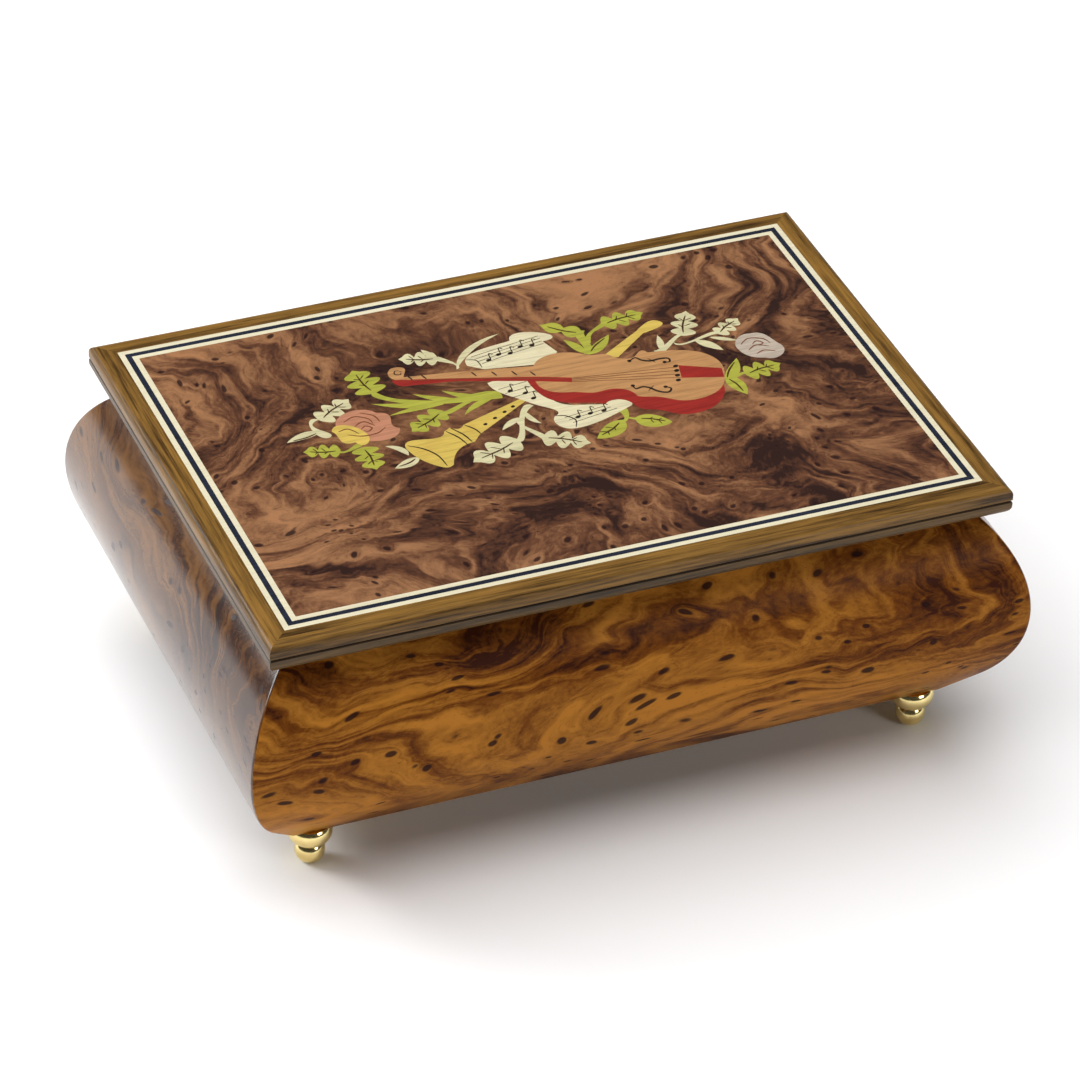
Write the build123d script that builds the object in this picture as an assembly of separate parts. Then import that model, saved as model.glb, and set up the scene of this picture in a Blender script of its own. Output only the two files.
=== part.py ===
"""Inlaid musical jewellery box: a bulging walnut-root case on brass ball feet, with a hinged
marquetry lid, a lined jewellery tray with ring rolls, and an 18-note cylinder movement that is
wound by a key under the base and let go by the lid.

Millimetres.  +Z is up, X is the width, Y the depth, the front faces -Y, and the origin is on the
floor at the middle of the footprint.
"""
import os
from math import atan2, cos, degrees, hypot, pi, radians, sin, sqrt

from build123d import *

# ---------------------------------------------------------------- driving dimensions: case
WIDTH = 190.0                # over the bulge of the left and right sides
DEPTH = 133.8                # over the bulge of the front and back
HEIGHT = 72.6                # floor to the top of the lid
BASE_Z = 10.5                # underside of the case
BELLY_Z = 38.5               # height of the widest line
RIM_Z = 65.2                 # top edge of the case, where the lid rests
BELLY_RADIUS = 31.0          # radius of the bulge
LOW_Z, HIGH_Z = 18.0, 60.0   # the bulge's arc runs between these, with straight flats beyond
WALL_RIM = 7.0               # wall thickness at the rim
CORNER_ROUND = 0.9           # easing of the mitred corners
FLOOR_THICK = 4.0

FOOT_AT = (75.0, 49.0)
FOOT_BALL, FOOT_DOME = 7.1, 10.5       # diameters
FOOT_PIN = 2.0

# ---------------------------------------------------------------- driving dimensions: lid
LID_HALF = (89.4, 63.1)
LID_TOP_ROUND, LID_LOW_ROUND = 1.8, 2.8
EDGING = 5.33                # width of the edging around the core
GROOVE_Z, GROOVE = 69.1, 0.35          # fine groove round the lid's edge
VENEER = 0.7
STRING = 1.33                # width of one of the three lines of stringing
SMALLEST_CHIP = 1.0          # square millimetres: smaller scraps of veneer are not cut
CHORD = 0.6                  # length of the saw's straight steps round a curved inlay
SHORTEST_CUT = 0.04          # shorter edges between neighbouring inlays are closed up
LID_ANGLE = 95.0             # how far the lid opens

# ---------------------------------------------------------------- driving dimensions: hinges
HINGE_Y, HINGE_X = 58.0, 50.0
LEAF_WIDE, LEAF_THICK, LEAF_INNER_Y = 20.0, 0.65, 47.2
KNUCKLE, HINGE_PIN = 3.0, 1.2
RUN = 0.05                   # radial clearance of every running fit
GAP = 0.3                    # gap between parts that pass each other

# ---------------------------------------------------------------- driving dimensions: inside
LINING = 0.8
DIVIDER_X = (-12.0, -9.6)
SHORT_DIVIDER_X = (37.0, 38.8)
ROLLS, ROLL_WIDE, ROLL_TOP = 4, 8.3, 36.0
COVER_Z = (44.0, 46.0)
LEDGE = 4.2

# ---------------------------------------------------------------- driving dimensions: movement
MX, MY = -45.5, 0.0          # middle of the movement
PLATE_Z = (14.5, 16.7)
AXIS_Z = 26.0                # height of the cylinder's arbor
CYLINDER_Y = 4.0
CYLINDER_X = (1.6, 20.0)
CYLINDER_R = 6.5
PIN_OUT = 0.25
NOTES, TOOTH_PITCH, TOOTH_WIDE = 18, 1.0, 0.78
TIP_GAP = 0.45
BARREL_AT = (-13.0, 4.0)
BARREL_R, RING_R = 10.0, 11.0
RING_TEETH, PINION_TEETH = 36, 18
CYLINDER_GEAR_R, CYLINDER_GEAR_TEETH = 6.9, 48
GOVERNOR_Y, GOVERNOR_PINION_R, GOVERNOR_TEETH = 13.2, 2.0, 12
WORM_WHEEL_R, WORM_WHEEL_TEETH = 5.0, 15
WORM_AT, WORM_R = (25.6, 6.4), 1.5
FAN_R, FAN_Z = 4.6, (33.6, 38.2)
ARBOR = 3.0                  # winding arbor
CLICK_AT = (-10.2, 13.6)
STOP_AT = (17.0, 16.8)
STOP_ROD = 1.2
PLATE_SCREWS = ((-22.5, -16.0), (26.0, -16.0), (3.5, 17.0))

INSET = (WIDTH - DEPTH) / 2                       # the depth profile is the width profile less this
RIM_HALF = (WIDTH / 2 - BELLY_RADIUS + sqrt(BELLY_RADIUS**2 - (HIGH_Z - BELLY_Z)**2)
            - (RIM_Z - HIGH_Z) * (HIGH_Z - BELLY_Z)
            / sqrt(BELLY_RADIUS**2 - (HIGH_Z - BELLY_Z)**2))
INNER = (RIM_HALF - WALL_RIM, RIM_HALF - WALL_RIM - INSET)
FLOOR_Z = BASE_Z + FLOOR_THICK
CORE = (LID_HALF[0] - EDGING, LID_HALF[1] - EDGING)

os.makedirs("parts", exist_ok=True)


# ---------------------------------------------------------------- small helpers
def save(name, *solids):
    """Write one sub-part, made of one or more separate solids."""
    whole = Compound(children=[piece for solid in solids for piece in solid.solids()])
    export_step(whole, f"parts/{name}.step")


def block(x0, x1, y0, y1, z0, z1):
    """Straight-sided block between two opposite corners."""
    return Pos((x0 + x1) / 2, (y0 + y1) / 2, (z0 + z1) / 2) * Box(x1 - x0, y1 - y0, z1 - z0)


def post(x, y, z0, z1, diameter):
    """Upright cylinder."""
    return Pos(x, y, (z0 + z1) / 2) * Cylinder(diameter / 2, z1 - z0)


def shaft(x0, x1, y, z, diameter):
    """Cylinder that lies along X."""
    return Pos((x0 + x1) / 2, y, z) * Rot(0, 90, 0) * Cylinder(diameter / 2, x1 - x0)


def mitred(section, long, inset):
    """Block with the same moulded section on all four sides, mitred at the corners."""
    across = extrude(Plane.XZ * section(long), long * 2, both=True)
    along = extrude(Plane.YZ * section(long - inset), long * 2, both=True)
    return across & along


def corner_edges(solid, inset):
    """Edges that lie in the mitre planes of a mitred block."""
    def on_mitre(point):
        return abs(abs(point.X) - abs(point.Y) - inset) < 0.01
    return [edge for edge in solid.edges()
            if on_mitre(edge @ 0) and on_mitre(edge @ 1) and abs((edge @ 0).Z - (edge @ 1).Z) > 0.5]


def quarters(ring, inner):
    """Cut a mitred ring into its front, back, left and right lengths."""
    x, y, far = inner[0], inner[1], 60.0
    side = make_face(Polyline((x, y), (x + far, y + far), (x + far, -y - far), (x, -y), close=True))
    end = make_face(Polyline((x, -y), (x + far, -y - far), (-x - far, -y - far), (-x, -y), close=True))
    right = extrude(side, HEIGHT * 2)
    front = extrude(end, HEIGHT * 2)
    turn = Rot(0, 0, 180)
    return {"front": ring & front, "back": ring & (turn * front),
            "left": ring & (turn * right), "right": ring & right}


def revolved(*lines):
    """Turned piece from its half-section, drawn in the XZ plane beside the Z axis."""
    return revolve(Plane.XZ * make_face(lines), Axis.Z)


def gear(radius, teeth, depth, thick):
    """Gear with its lower face at z = 0 and straight-sided teeth."""
    points = []
    for tooth in range(teeth):
        for share, reach in ((-0.30, radius - depth), (-0.13, radius), (0.13, radius),
                             (0.30, radius - depth)):
            angle = 2 * pi * (tooth + share) / teeth
            points.append((reach * cos(angle), reach * sin(angle)))
    return extrude(make_face(Polyline(*points, close=True)), thick)


def gear_on_x(x0, x1, y, z, radius, teeth, depth):
    """Gear on an axle along X."""
    return Pos(x0, y, z) * Rot(0, 90, 0) * gear(radius, teeth, depth, x1 - x0)


# ---------------------------------------------------------------- case
def case_section(half):
    """Cross-section of the case, belly half-width first: flat base, bulge, flat to the rim."""
    centre = half - BELLY_RADIUS
    high_reach = sqrt(BELLY_RADIUS**2 - (HIGH_Z - BELLY_Z)**2)
    low_reach = sqrt(BELLY_RADIUS**2 - (BELLY_Z - LOW_Z)**2)
    high, low = centre + high_reach, centre + low_reach
    rim = high - (RIM_Z - HIGH_Z) * (HIGH_Z - BELLY_Z) / high_reach
    base = low - (LOW_Z - BASE_Z) * (BELLY_Z - LOW_Z) / low_reach
    return make_face([
        Line((-base, BASE_Z), (base, BASE_Z)),
        Line((base, BASE_Z), (low, LOW_Z)),
        ThreePointArc((low, LOW_Z), (half, BELLY_Z), (high, HIGH_Z)),
        Line((high, HIGH_Z), (rim, RIM_Z)),
        Line((rim, RIM_Z), (-rim, RIM_Z)),
        Line((-rim, RIM_Z), (-high, HIGH_Z)),
        ThreePointArc((-high, HIGH_Z), (-half, BELLY_Z), (-low, LOW_Z)),
        Line((-low, LOW_Z), (-base, BASE_Z)),
    ])


def hinge_mortises():
    """Shallow recesses in the back rim for the hinge leaves, and the holes for their screws."""
    cuts = []
    for x in (-HINGE_X, HINGE_X):
        cuts.append(block(x - LEAF_WIDE / 2, x + LEAF_WIDE / 2, LEAF_INNER_Y, HINGE_Y,
                          RIM_Z - 0.05 - LEAF_THICK, RIM_Z + 1))
        for side in (-6, 6):
            cuts.append(post(x + side, 50.2, RIM_Z - 5.2, RIM_Z, 1.6))
    return cuts


def make_case():
    """Four mitred mouldings, the floor, the feet and the pins that hold them."""
    shell = mitred(case_section, WIDTH / 2, INSET)
    shell = fillet(corner_edges(shell, INSET), CORNER_ROUND)
    shell -= block(-INNER[0], INNER[0], -INNER[1], INNER[1], 0, HEIGHT)
    pin_holes = [post(sx * FOOT_AT[0], sy * FOOT_AT[1], BASE_Z, BASE_Z + 7, FOOT_PIN)
                 for sx in (-1, 1) for sy in (-1, 1)]
    panels = quarters(shell, INNER)
    for name in ("front", "back"):
        panels[name] = panels[name] - pin_holes
    panels["back"] = panels["back"] - hinge_mortises()
    for name, panel in panels.items():
        save(f"{name}_panel", panel)

    key_x, key_y = MX + BARREL_AT[0], MY + BARREL_AT[1]
    floor = block(-INNER[0], INNER[0], -INNER[1], INNER[1], BASE_Z, FLOOR_Z)
    floor -= post(key_x, key_y, 0, 30, 9.0)
    for x, y in PLATE_SCREWS:
        floor -= post(MX + x, MY + y, 0, 30, 2.4)
    save("floor_panel", floor)

    ball, dome = FOOT_BALL / 2, FOOT_DOME / 2
    contact, waist_z, waist = 1.7, 5.4, 2.6
    foot = revolved(
        Line((0, 0), (contact, 0)),
        ThreePointArc((contact, 0), (ball, 3.1), (waist, waist_z)),
        ThreePointArc((waist, waist_z), (dome, 8.4), (4.6, BASE_Z)),
        Line((4.6, BASE_Z), (0, BASE_Z)),
        Line((0, BASE_Z), (0, 0)))
    foot -= post(0, 0, 6.5, BASE_Z + 1, FOOT_PIN)
    pin = post(0, 0, 6.5, BASE_Z + 7, FOOT_PIN)
    spots = [Pos(sx * FOOT_AT[0], sy * FOOT_AT[1], 0) for sx in (-1, 1) for sy in (-1, 1)]
    save("ball_feet", *[spot * foot for spot in spots])
    save("foot_pins", *[spot * pin for spot in spots])


# ---------------------------------------------------------------- lid
def lid_section(half):
    """Cross-section of the lid: rounded edges and a fine groove round the rim."""
    top, low = LID_TOP_ROUND, LID_LOW_ROUND
    lean = 1 - sqrt(0.5)

    def side(sign):
        x = sign * half
        return [
            ((x - sign * low, RIM_Z), (x - sign * low * lean, RIM_Z + low * lean), (x, RIM_Z + low)),
            ((x, RIM_Z + low), (x, GROOVE_Z - GROOVE)),
            ((x, GROOVE_Z - GROOVE), (x - sign * GROOVE, GROOVE_Z)),
            ((x - sign * GROOVE, GROOVE_Z), (x, GROOVE_Z + GROOVE)),
            ((x, GROOVE_Z + GROOVE), (x, HEIGHT - top)),
            ((x, HEIGHT - top), (x - sign * top * lean, HEIGHT - top * lean), (x - sign * top, HEIGHT)),
        ]
    edges = []
    for sign in (-1, 1):
        for run in side(sign):
            edges.append(ThreePointArc(*run) if len(run) == 3 else Line(*run))
    edges.append(Line((-half + low, RIM_Z), (half - low, RIM_Z)))
    edges.append(Line((-half + top, HEIGHT), (half - top, HEIGHT)))
    return make_face(edges)


def frame_strips(outer, width, z0, z1):
    """Four mitred strips round a rectangle of half-size outer."""
    inner = (outer[0] - width, outer[1] - width)
    ring = block(-outer[0], outer[0], -outer[1], outer[1], z0, z1)
    ring -= block(-inner[0], inner[0], -inner[1], inner[1], z0, z1)
    return list(quarters(ring, inner).values())


def lid_hinge_cuts():
    """Room in the lid for the hinge leaves, their knuckles and their screws."""
    cuts = []
    for x in (-HINGE_X, HINGE_X):
        cuts.append(block(x - LEAF_WIDE / 2, x + LEAF_WIDE / 2, LEAF_INNER_Y, HINGE_Y,
                          RIM_Z - 1, RIM_Z + 0.05 + LEAF_THICK))
        reach = LEAF_WIDE / 2 + 0.5
        cuts.append(shaft(x - reach, x + reach, HINGE_Y, RIM_Z, KNUCKLE + 2 * GAP + 0.2))
        for side in (-6, 6):
            cuts.append(post(x + side, 50.2, RIM_Z, RIM_Z + 4.3, 1.6))
    return cuts


def make_lid(inlays):
    """Core board, mitred edging, stringing, the veneered field, its inlays and the lining."""
    inset = LID_HALF[0] - LID_HALF[1]
    slab = mitred(lid_section, LID_HALF[0], inset)
    hole = block(-CORE[0], CORE[0], -CORE[1], CORE[1], RIM_Z - 1, HEIGHT + 1)
    edging = quarters(slab - hole, CORE)
    edging["back"] = edging["back"] - lid_hinge_cuts()
    for name, length in edging.items():
        save(f"lid_edging_{name}", length)

    veneer_z = HEIGHT - VENEER
    lining_half = (INNER[0] - 2.5, INNER[1] - 3.0)
    core = block(-CORE[0], CORE[0], -CORE[1], CORE[1], RIM_Z, veneer_z)
    core -= block(-lining_half[0], lining_half[0], -lining_half[1], lining_half[1], RIM_Z - 1, RIM_Z + 1)
    core -= lid_hinge_cuts()
    save("lid_core", core)
    save("lid_lining", block(-lining_half[0], lining_half[0], -lining_half[1], lining_half[1],
                             RIM_Z + 0.1, RIM_Z + 1))

    half, lines = CORE, []
    for _ in range(3):
        lines.append(frame_strips(half, STRING, veneer_z, HEIGHT))
        half = (half[0] - STRING, half[1] - STRING)
    save("stringing_light", *lines[0], *lines[2])
    save("stringing_dark", *lines[1])

    cut = {name: [trimmed(face) for shape in shapes for face in shape.faces() if face.area > SMALLEST_CHIP]
           for name, shapes in inlays.items()}
    field = Rectangle(2 * half[0], 2 * half[1])
    for shapes in cut.values():
        for shape in shapes:
            field -= shape
    cut["lid_field_veneer"] = [trimmed(face) for face in field.faces() if face.area > SMALLEST_CHIP]
    for name, shapes in cut.items():
        save(name, *[extrude(Pos(0, 0, veneer_z) * shape, VENEER) for shape in shapes])


# ---------------------------------------------------------------- marquetry
def outline(*runs):
    """Closed shape whose runs are smooth curves or straight lines that meet at corners."""
    corners = []
    for index, run in enumerate(runs):
        points = list(run) + [runs[(index + 1) % len(runs)][0]]
        if len(points) == 2:
            corners.append(Vector(*points[0]))
            continue
        curve = Spline(*points)
        steps = max(4, round(curve.length / CHORD))
        corners += [curve @ (step / steps) for step in range(steps)]
    return make_face(Polyline(*corners, close=True))


def trimmed(face):
    """The same straight-edged face without the edges that are too short to saw."""
    def corners(wire):
        points = []
        for edge in wire.order_edges():
            point = edge @ 0
            if not points or (point - points[-1]).length > SHORTEST_CUT:
                points.append(point)
        if (points[-1] - points[0]).length <= SHORTEST_CUT:
            points.pop()
        return points
    whole = make_face(Polyline(*corners(face.outer_wire()), close=True))
    for wire in face.inner_wires():
        whole -= make_face(Polyline(*corners(wire), close=True))
    return whole


def between(base, tip, along, out):
    """Point at a share of the way from base to tip, and so far out to the left."""
    length = hypot(tip[0] - base[0], tip[1] - base[1])
    ux, uy = (tip[0] - base[0]) / length, (tip[1] - base[1]) / length
    return (base[0] + ux * along * length - uy * out, base[1] + uy * along * length + ux * out)


def blade(base, tip, half, lean=0.0):
    """Plain pointed leaf; lean bows it to the left."""
    left = [base, between(base, tip, 0.30, lean + half * 0.9), between(base, tip, 0.65, lean + half * 0.8)]
    right = [tip, between(base, tip, 0.65, lean - half * 0.8), between(base, tip, 0.30, lean - half * 0.9)]
    return outline(left, right)


def lobed(base, tip, half, lobes=3):
    """Cut leaf with rounded lobes on both sides and a pointed end."""
    stops = [0.04 + 0.86 * index / lobes for index in range(lobes + 1)]
    sides = {}
    for side in (1, -1):
        notches = [between(base, tip, stops[0], side * 0.35)]
        notches += [between(base, tip, stops[index], side * half * 0.42 * (1 - 0.25 * index))
                    for index in range(1, lobes)]
        notches.append(between(base, tip, stops[-1], side * half * 0.30))
        bumps = []
        for index in range(lobes):
            middle = (stops[index] + stops[index + 1]) / 2
            reach = half * sin(pi * min(0.25 + 0.62 * middle, 1.0))
            bumps.append(between(base, tip, middle + 0.02, side * reach))
        sides[side] = (notches, bumps)
    runs = [[notch, bump] for notch, bump in zip(*sides[1])]
    runs += [[sides[1][0][-1]], [tip]]
    notches, bumps = sides[-1]
    runs += [[notch, bump] for notch, bump in zip(notches[:0:-1], bumps[::-1])]
    runs.append([notches[0]])
    return outline(*runs)


def stem(points, wide, fine):
    """Tapering stem along a few points."""
    left, right = [], []
    for index, point in enumerate(points):
        before, after = points[max(index - 1, 0)], points[min(index + 1, len(points) - 1)]
        angle = atan2(after[1] - before[1], after[0] - before[0])
        half = (wide + (fine - wide) * index / (len(points) - 1)) / 2
        left.append((point[0] - half * sin(angle), point[1] + half * cos(angle)))
        right.append((point[0] + half * sin(angle), point[1] - half * cos(angle)))
    return outline(left, right[::-1])


def joined(*faces):
    """One sketch from shapes of the same wood that run into each other."""
    whole = faces[0]
    for face in faces[1:]:
        whole += face
    return whole


def violin_front():
    """Spruce belly of the violin, with its bouts and corners."""
    return outline(
        [(5.2, 19.8), (8.0, 22.4), (12.2, 23.2), (16.8, 21.7), (20.2, 19.6), (23.4, 18.7)],
        [(23.9, 18.1), (25.6, 16.2), (28.6, 15.5), (31.6, 17.6)],
        [(32.6, 16.3), (40.0, 14.7), (44.8, 11.8), (47.0, 7.2), (46.0, 1.6), (43.0, -3.1), (36.6, -5.5),
         (31.6, -4.4), (27.8, -1.6), (24.3, -0.3)],
        [(23.4, 0.3), (21.6, 3.9), (18.4, 5.1), (14.6, 5.0), (10.6, 6.6), (6.4, 8.0), (3.7, 10.8),
         (3.6, 15.0)])


def violin_back():
    """Red strip of the ribs, seen below the belly."""
    return outline(
        [(1.7, 15.6), (2.0, 10.4), (4.0, 5.6), (8.0, 2.8), (13.4, 0.9)],
        [(15.2, -0.2), (18.2, 0.7), (20.8, -1.2), (22.2, -4.6), (26.2, -6.8), (29.4, -9.6), (34.2, -10.7),
         (38.8, -9.4), (43.9, -2.9)],
        [(40.0, 4.0), (30.0, 6.0), (18.0, 9.0), (6.0, 13.0)])


def make_inlays():
    """All the marquetry, a list of shapes for each wood, the upper ones cut out of the lower ones."""
    neck = outline([(-25.4, 25.9)], [(-13.4, 23.9)], [(-2.0, 21.6)], [(5.6, 19.9)], [(4.4, 15.6)],
                   [(-13.8, 21.4)], [(-26.6, 25.2)])
    scroll = outline([(-25.0, 25.0), (-27.8, 26.4), (-27.4, 29.2)], [(-27.2, 29.4), (-25.0, 30.2), (-23.4, 29.2),
                     (-24.0, 27.4)])
    fingerboard = outline([(-27.9, 25.5), (-27.4, 23.1)], [(-24.6, 22.0)], [(-14.0, 20.2)], [(2.6, 14.3)],
                          [(11.3, 10.7)], [(11.9, 12.5)], [(4.4, 15.6)], [(-13.8, 21.4)],
                          [(-26.6, 25.2)])
    tailpiece = outline([(37.3, 8.9)], [(46.4, 4.4)], [(45.5, 0.8)], [(36.0, 3.8)])
    front = violin_front() - tailpiece
    reds = [fingerboard, tailpiece, violin_back() - violin_front() - fingerboard]
    spruce = [front - fingerboard, (neck + scroll) - violin_front() - fingerboard]
    taken = [joined(violin_front(), fingerboard), neck + scroll, violin_back()]

    def clear_of(face, others):
        for other in others:
            face = face - other
        return face

    upper_sheet = outline([(-9.2, 25.2), (-8.4, 28.2), (-6.0, 29.9)], [(4.0, 31.8), (10.6, 33.3), (14.2, 30.1)],
                          [(11.2, 28.9)], [(12.8, 23.6)], [(8.0, 20.0)], [(-6.0, 22.6)])
    lower_sheet = outline([(-7.4, 17.0), (-6.8, 13.6), (-3.2, 8.8), (0.6, 4.2), (3.6, 0.1)],
                          [(2.2, -1.0), (1.4, -3.4), (3.0, -6.4), (5.0, -7.1)],
                          [(20.6, -2.8), (21.2, -1.0), (19.2, 0.4)], [(15.0, -0.3)],
                          [(9.0, 1.6), (4.0, 6.0), (2.2, 13.6)])
    sheets = [clear_of(upper_sheet, taken), clear_of(lower_sheet, taken)]
    taken += [upper_sheet, lower_sheet]

    bell = outline([(-34.6, -1.6), (-33.4, 0.7), (-31.2, 0.8)], [(-24.0, 1.8)], [(-22.3, 2.8), (-20.2, 1.8)],
                   [(-18.8, 2.9)], [(-2.6, 8.4)], [(-1.0, 7.6)], [(-16.6, -1.9)], [(-18.8, -4.3), (-20.6, -4.6)],
                   [(-26.6, -11.2), (-28.2, -11.9), (-30.4, -10.4), (-33.4, -6.0)])
    mouthpiece = outline([(25.4, 16.8)], [(22.2, 18.4)], [(33.8, 25.7), (36.6, 27.8), (39.4, 28.4),
                         (40.8, 26.8), (38.0, 24.9)], [(34.8, 24.2)])
    bell, mouthpiece = clear_of(bell, taken), clear_of(mouthpiece, taken)
    taken += [bell, mouthpiece]

    yellow_petal = outline([(-48.2, 10.4), (-46.6, 12.2), (-43.6, 11.4), (-41.4, 8.4), (-41.0, 5.0),
                            (-42.6, 3.0)], [(-44.6, 4.6), (-47.4, 5.8), (-47.6, 7.8)])
    rose_shape = outline([(-46.6, 12.0), (-44.4, 15.6), (-40.6, 16.8), (-36.8, 15.4)],
                         [(-36.0, 14.2), (-33.6, 11.0), (-34.2, 8.6)], [(-33.0, 6.6), (-34.8, 4.0), (-38.4, 3.2),
                         (-42.6, 5.0)])
    pink_rose = rose_shape - yellow_petal
    white_rose = outline([(53.2, 10.4), (54.2, 14.0), (57.4, 15.8)], [(58.4, 15.6), (61.4, 14.4), (62.6, 11.4)],
                         [(63.2, 9.6), (62.4, 5.2), (59.8, 4.2)], [(57.8, 5.0), (54.8, 6.6)])
    taken += [yellow_petal, rose_shape, white_rose]

    greens = [
        lobed((-33.6, 21.4), (-35.2, 32.4), 4.4), stem([(-33.8, 22.2), (-31.0, 18.2), (-26.4, 15.5), (-18.0, 12.9),
                                                        (-6.2, 11.0)], 1.3, 2.0),
        blade((-19.0, 12.6), (-35.9, 18.0), 1.1, 0.9), blade((-20.0, 12.2), (-33.7, 12.0), 0.8, -0.5),
        blade((-15.0, 12.2), (-25.4, 18.6), 1.0, 0.6), blade((-8.0, 11.0), (-18.6, 17.7), 1.1, 0.9),
        blade((-8.0, 10.9), (-17.1, 6.5), 0.9, -0.8), stem([(-10.0, 11.0), (-15.6, 10.8), (-22.0, 9.2)], 1.4, 1.0),
        lobed((-20.8, 9.9), (-31.0, 4.2), 3.4), lobed((-43.6, 2.6), (-43.8, -7.2), 3.6),
        stem([(-43.4, 3.6), (-46.4, 2.3), (-49.6, 2.5)], 1.0, 1.0), lobed((-48.6, 2.5), (-57.2, 4.9), 2.8),
        stem([(19.2, 20.6), (20.3, 25.6), (21.2, 30.0)], 2.0, 2.2), blade((19.0, 20.2), (26.9, 26.4), 1.5, -0.5),
        blade((18.7, 20.8), (16.0, 27.8), 1.2, -0.3), lobed((21.4, 28.6), (13.0, 35.6), 2.6, 2),
        stem([(20.3, 24.2), (22.4, 27.6), (25.6, 29.9), (29.6, 31.2)], 1.0, 1.2), lobed((26.6, 30.8), (38.2, 32.4), 3.2),
        blade((45.1, -0.9), (51.3, 7.1), 1.6, -0.6), blade((45.9, 0.9), (47.7, -7.6), 2.0, 0.3),
        stem([(46.3, -0.2), (48.7, 0.3), (51.4, 0.45)], 1.0, 0.9), lobed((50.2, 0.1), (60.2, 1.7), 3.4),
        stem([(17.9, -3.0), (17.8, -6.4), (16.0, -8.2)], 1.6, 0.8), stem([(17.7, -5.6), (19.2, -8.0), (21.0, -9.2)],
                                                                         0.9, 0.8),
        blade((16.6, -7.6), (8.0, -12.6), 2.5, 0.6), blade((19.4, -7.8), (26.9, -12.2), 2.7, -0.4),
    ]
    creams = [
        lobed((-14.2, 30.2), (-23.4, 33.2), 3.0), stem([(-11.8, 24.8), (-12.8, 28.4), (-14.8, 30.6)], 0.7, 1.6),
        blade((-12.0, 24.8), (2.8, 35.4), 0.9, 1.8), blade((-15.0, 30.4), (-17.0, 35.2), 1.0),
        lobed((-49.6, 15.4), (-40.0, 21.6), 3.4), stem([(-50.0, 16.4), (-51.6, 12.6), (-49.2, 8.6)], 1.7, 0.9),
        blade((-50.4, 11.2), (-59.4, 9.6), 1.3, -0.5), blade((-35.0, -4.4), (-38.8, 0.8), 0.9, -0.9),
        blade((-33.0, -5.8), (-39.8, -8.2), 1.5, 0.3),
        lobed((-8.6, -6.8), (-22.2, -11.9), 4.0), lobed((-4.0, -7.6), (6.0, -13.8), 3.5),
        stem([(-1.2, 5.2), (-5.0, 1.2), (-6.8, -3.4), (-9.6, -7.6)], 1.3, 1.2),
        stem([(-5.8, 0.8), (-5.2, -4.2), (-3.4, -8.8)], 1.1, 1.3), blade((-5.2, 1.2), (-11.2, -2.2), 0.9, -0.4),
        blade((-3.4, 3.0), (-1.6, -2.6), 0.8, -0.7),
        lobed((43.0, 19.6), (48.0, 29.6), 3.3), lobed((51.0, 17.8), (58.4, 22.6), 2.6),
        stem([(34.6, 15.8), (38.4, 17.6), (44.4, 20.2)], 1.6, 1.2), stem([(40.0, 18.0), (46.0, 17.6), (52.0, 18.0)],
                                                                          0.8, 0.9),
        blade((45.0, 17.2), (49.8, 11.2), 1.3, 0.3), blade((48.8, 17.4), (54.8, 13.8), 0.7),
        blade((36.0, 16.0), (37.6, 22.2), 0.9, -0.2),
    ]
    green = clear_of(joined(*greens), taken)
    cream = clear_of(joined(*creams), taken + [joined(*greens)])
    return {"inlay_spruce": spruce, "inlay_padauk": reds, "inlay_holly": sheets,
            "inlay_boxwood": [bell, mouthpiece, yellow_petal], "inlay_pink_rose": [pink_rose], "inlay_white_rose": [white_rose],
            "inlay_green_leaves": [green], "inlay_cream_leaves": [cream]}


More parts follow.
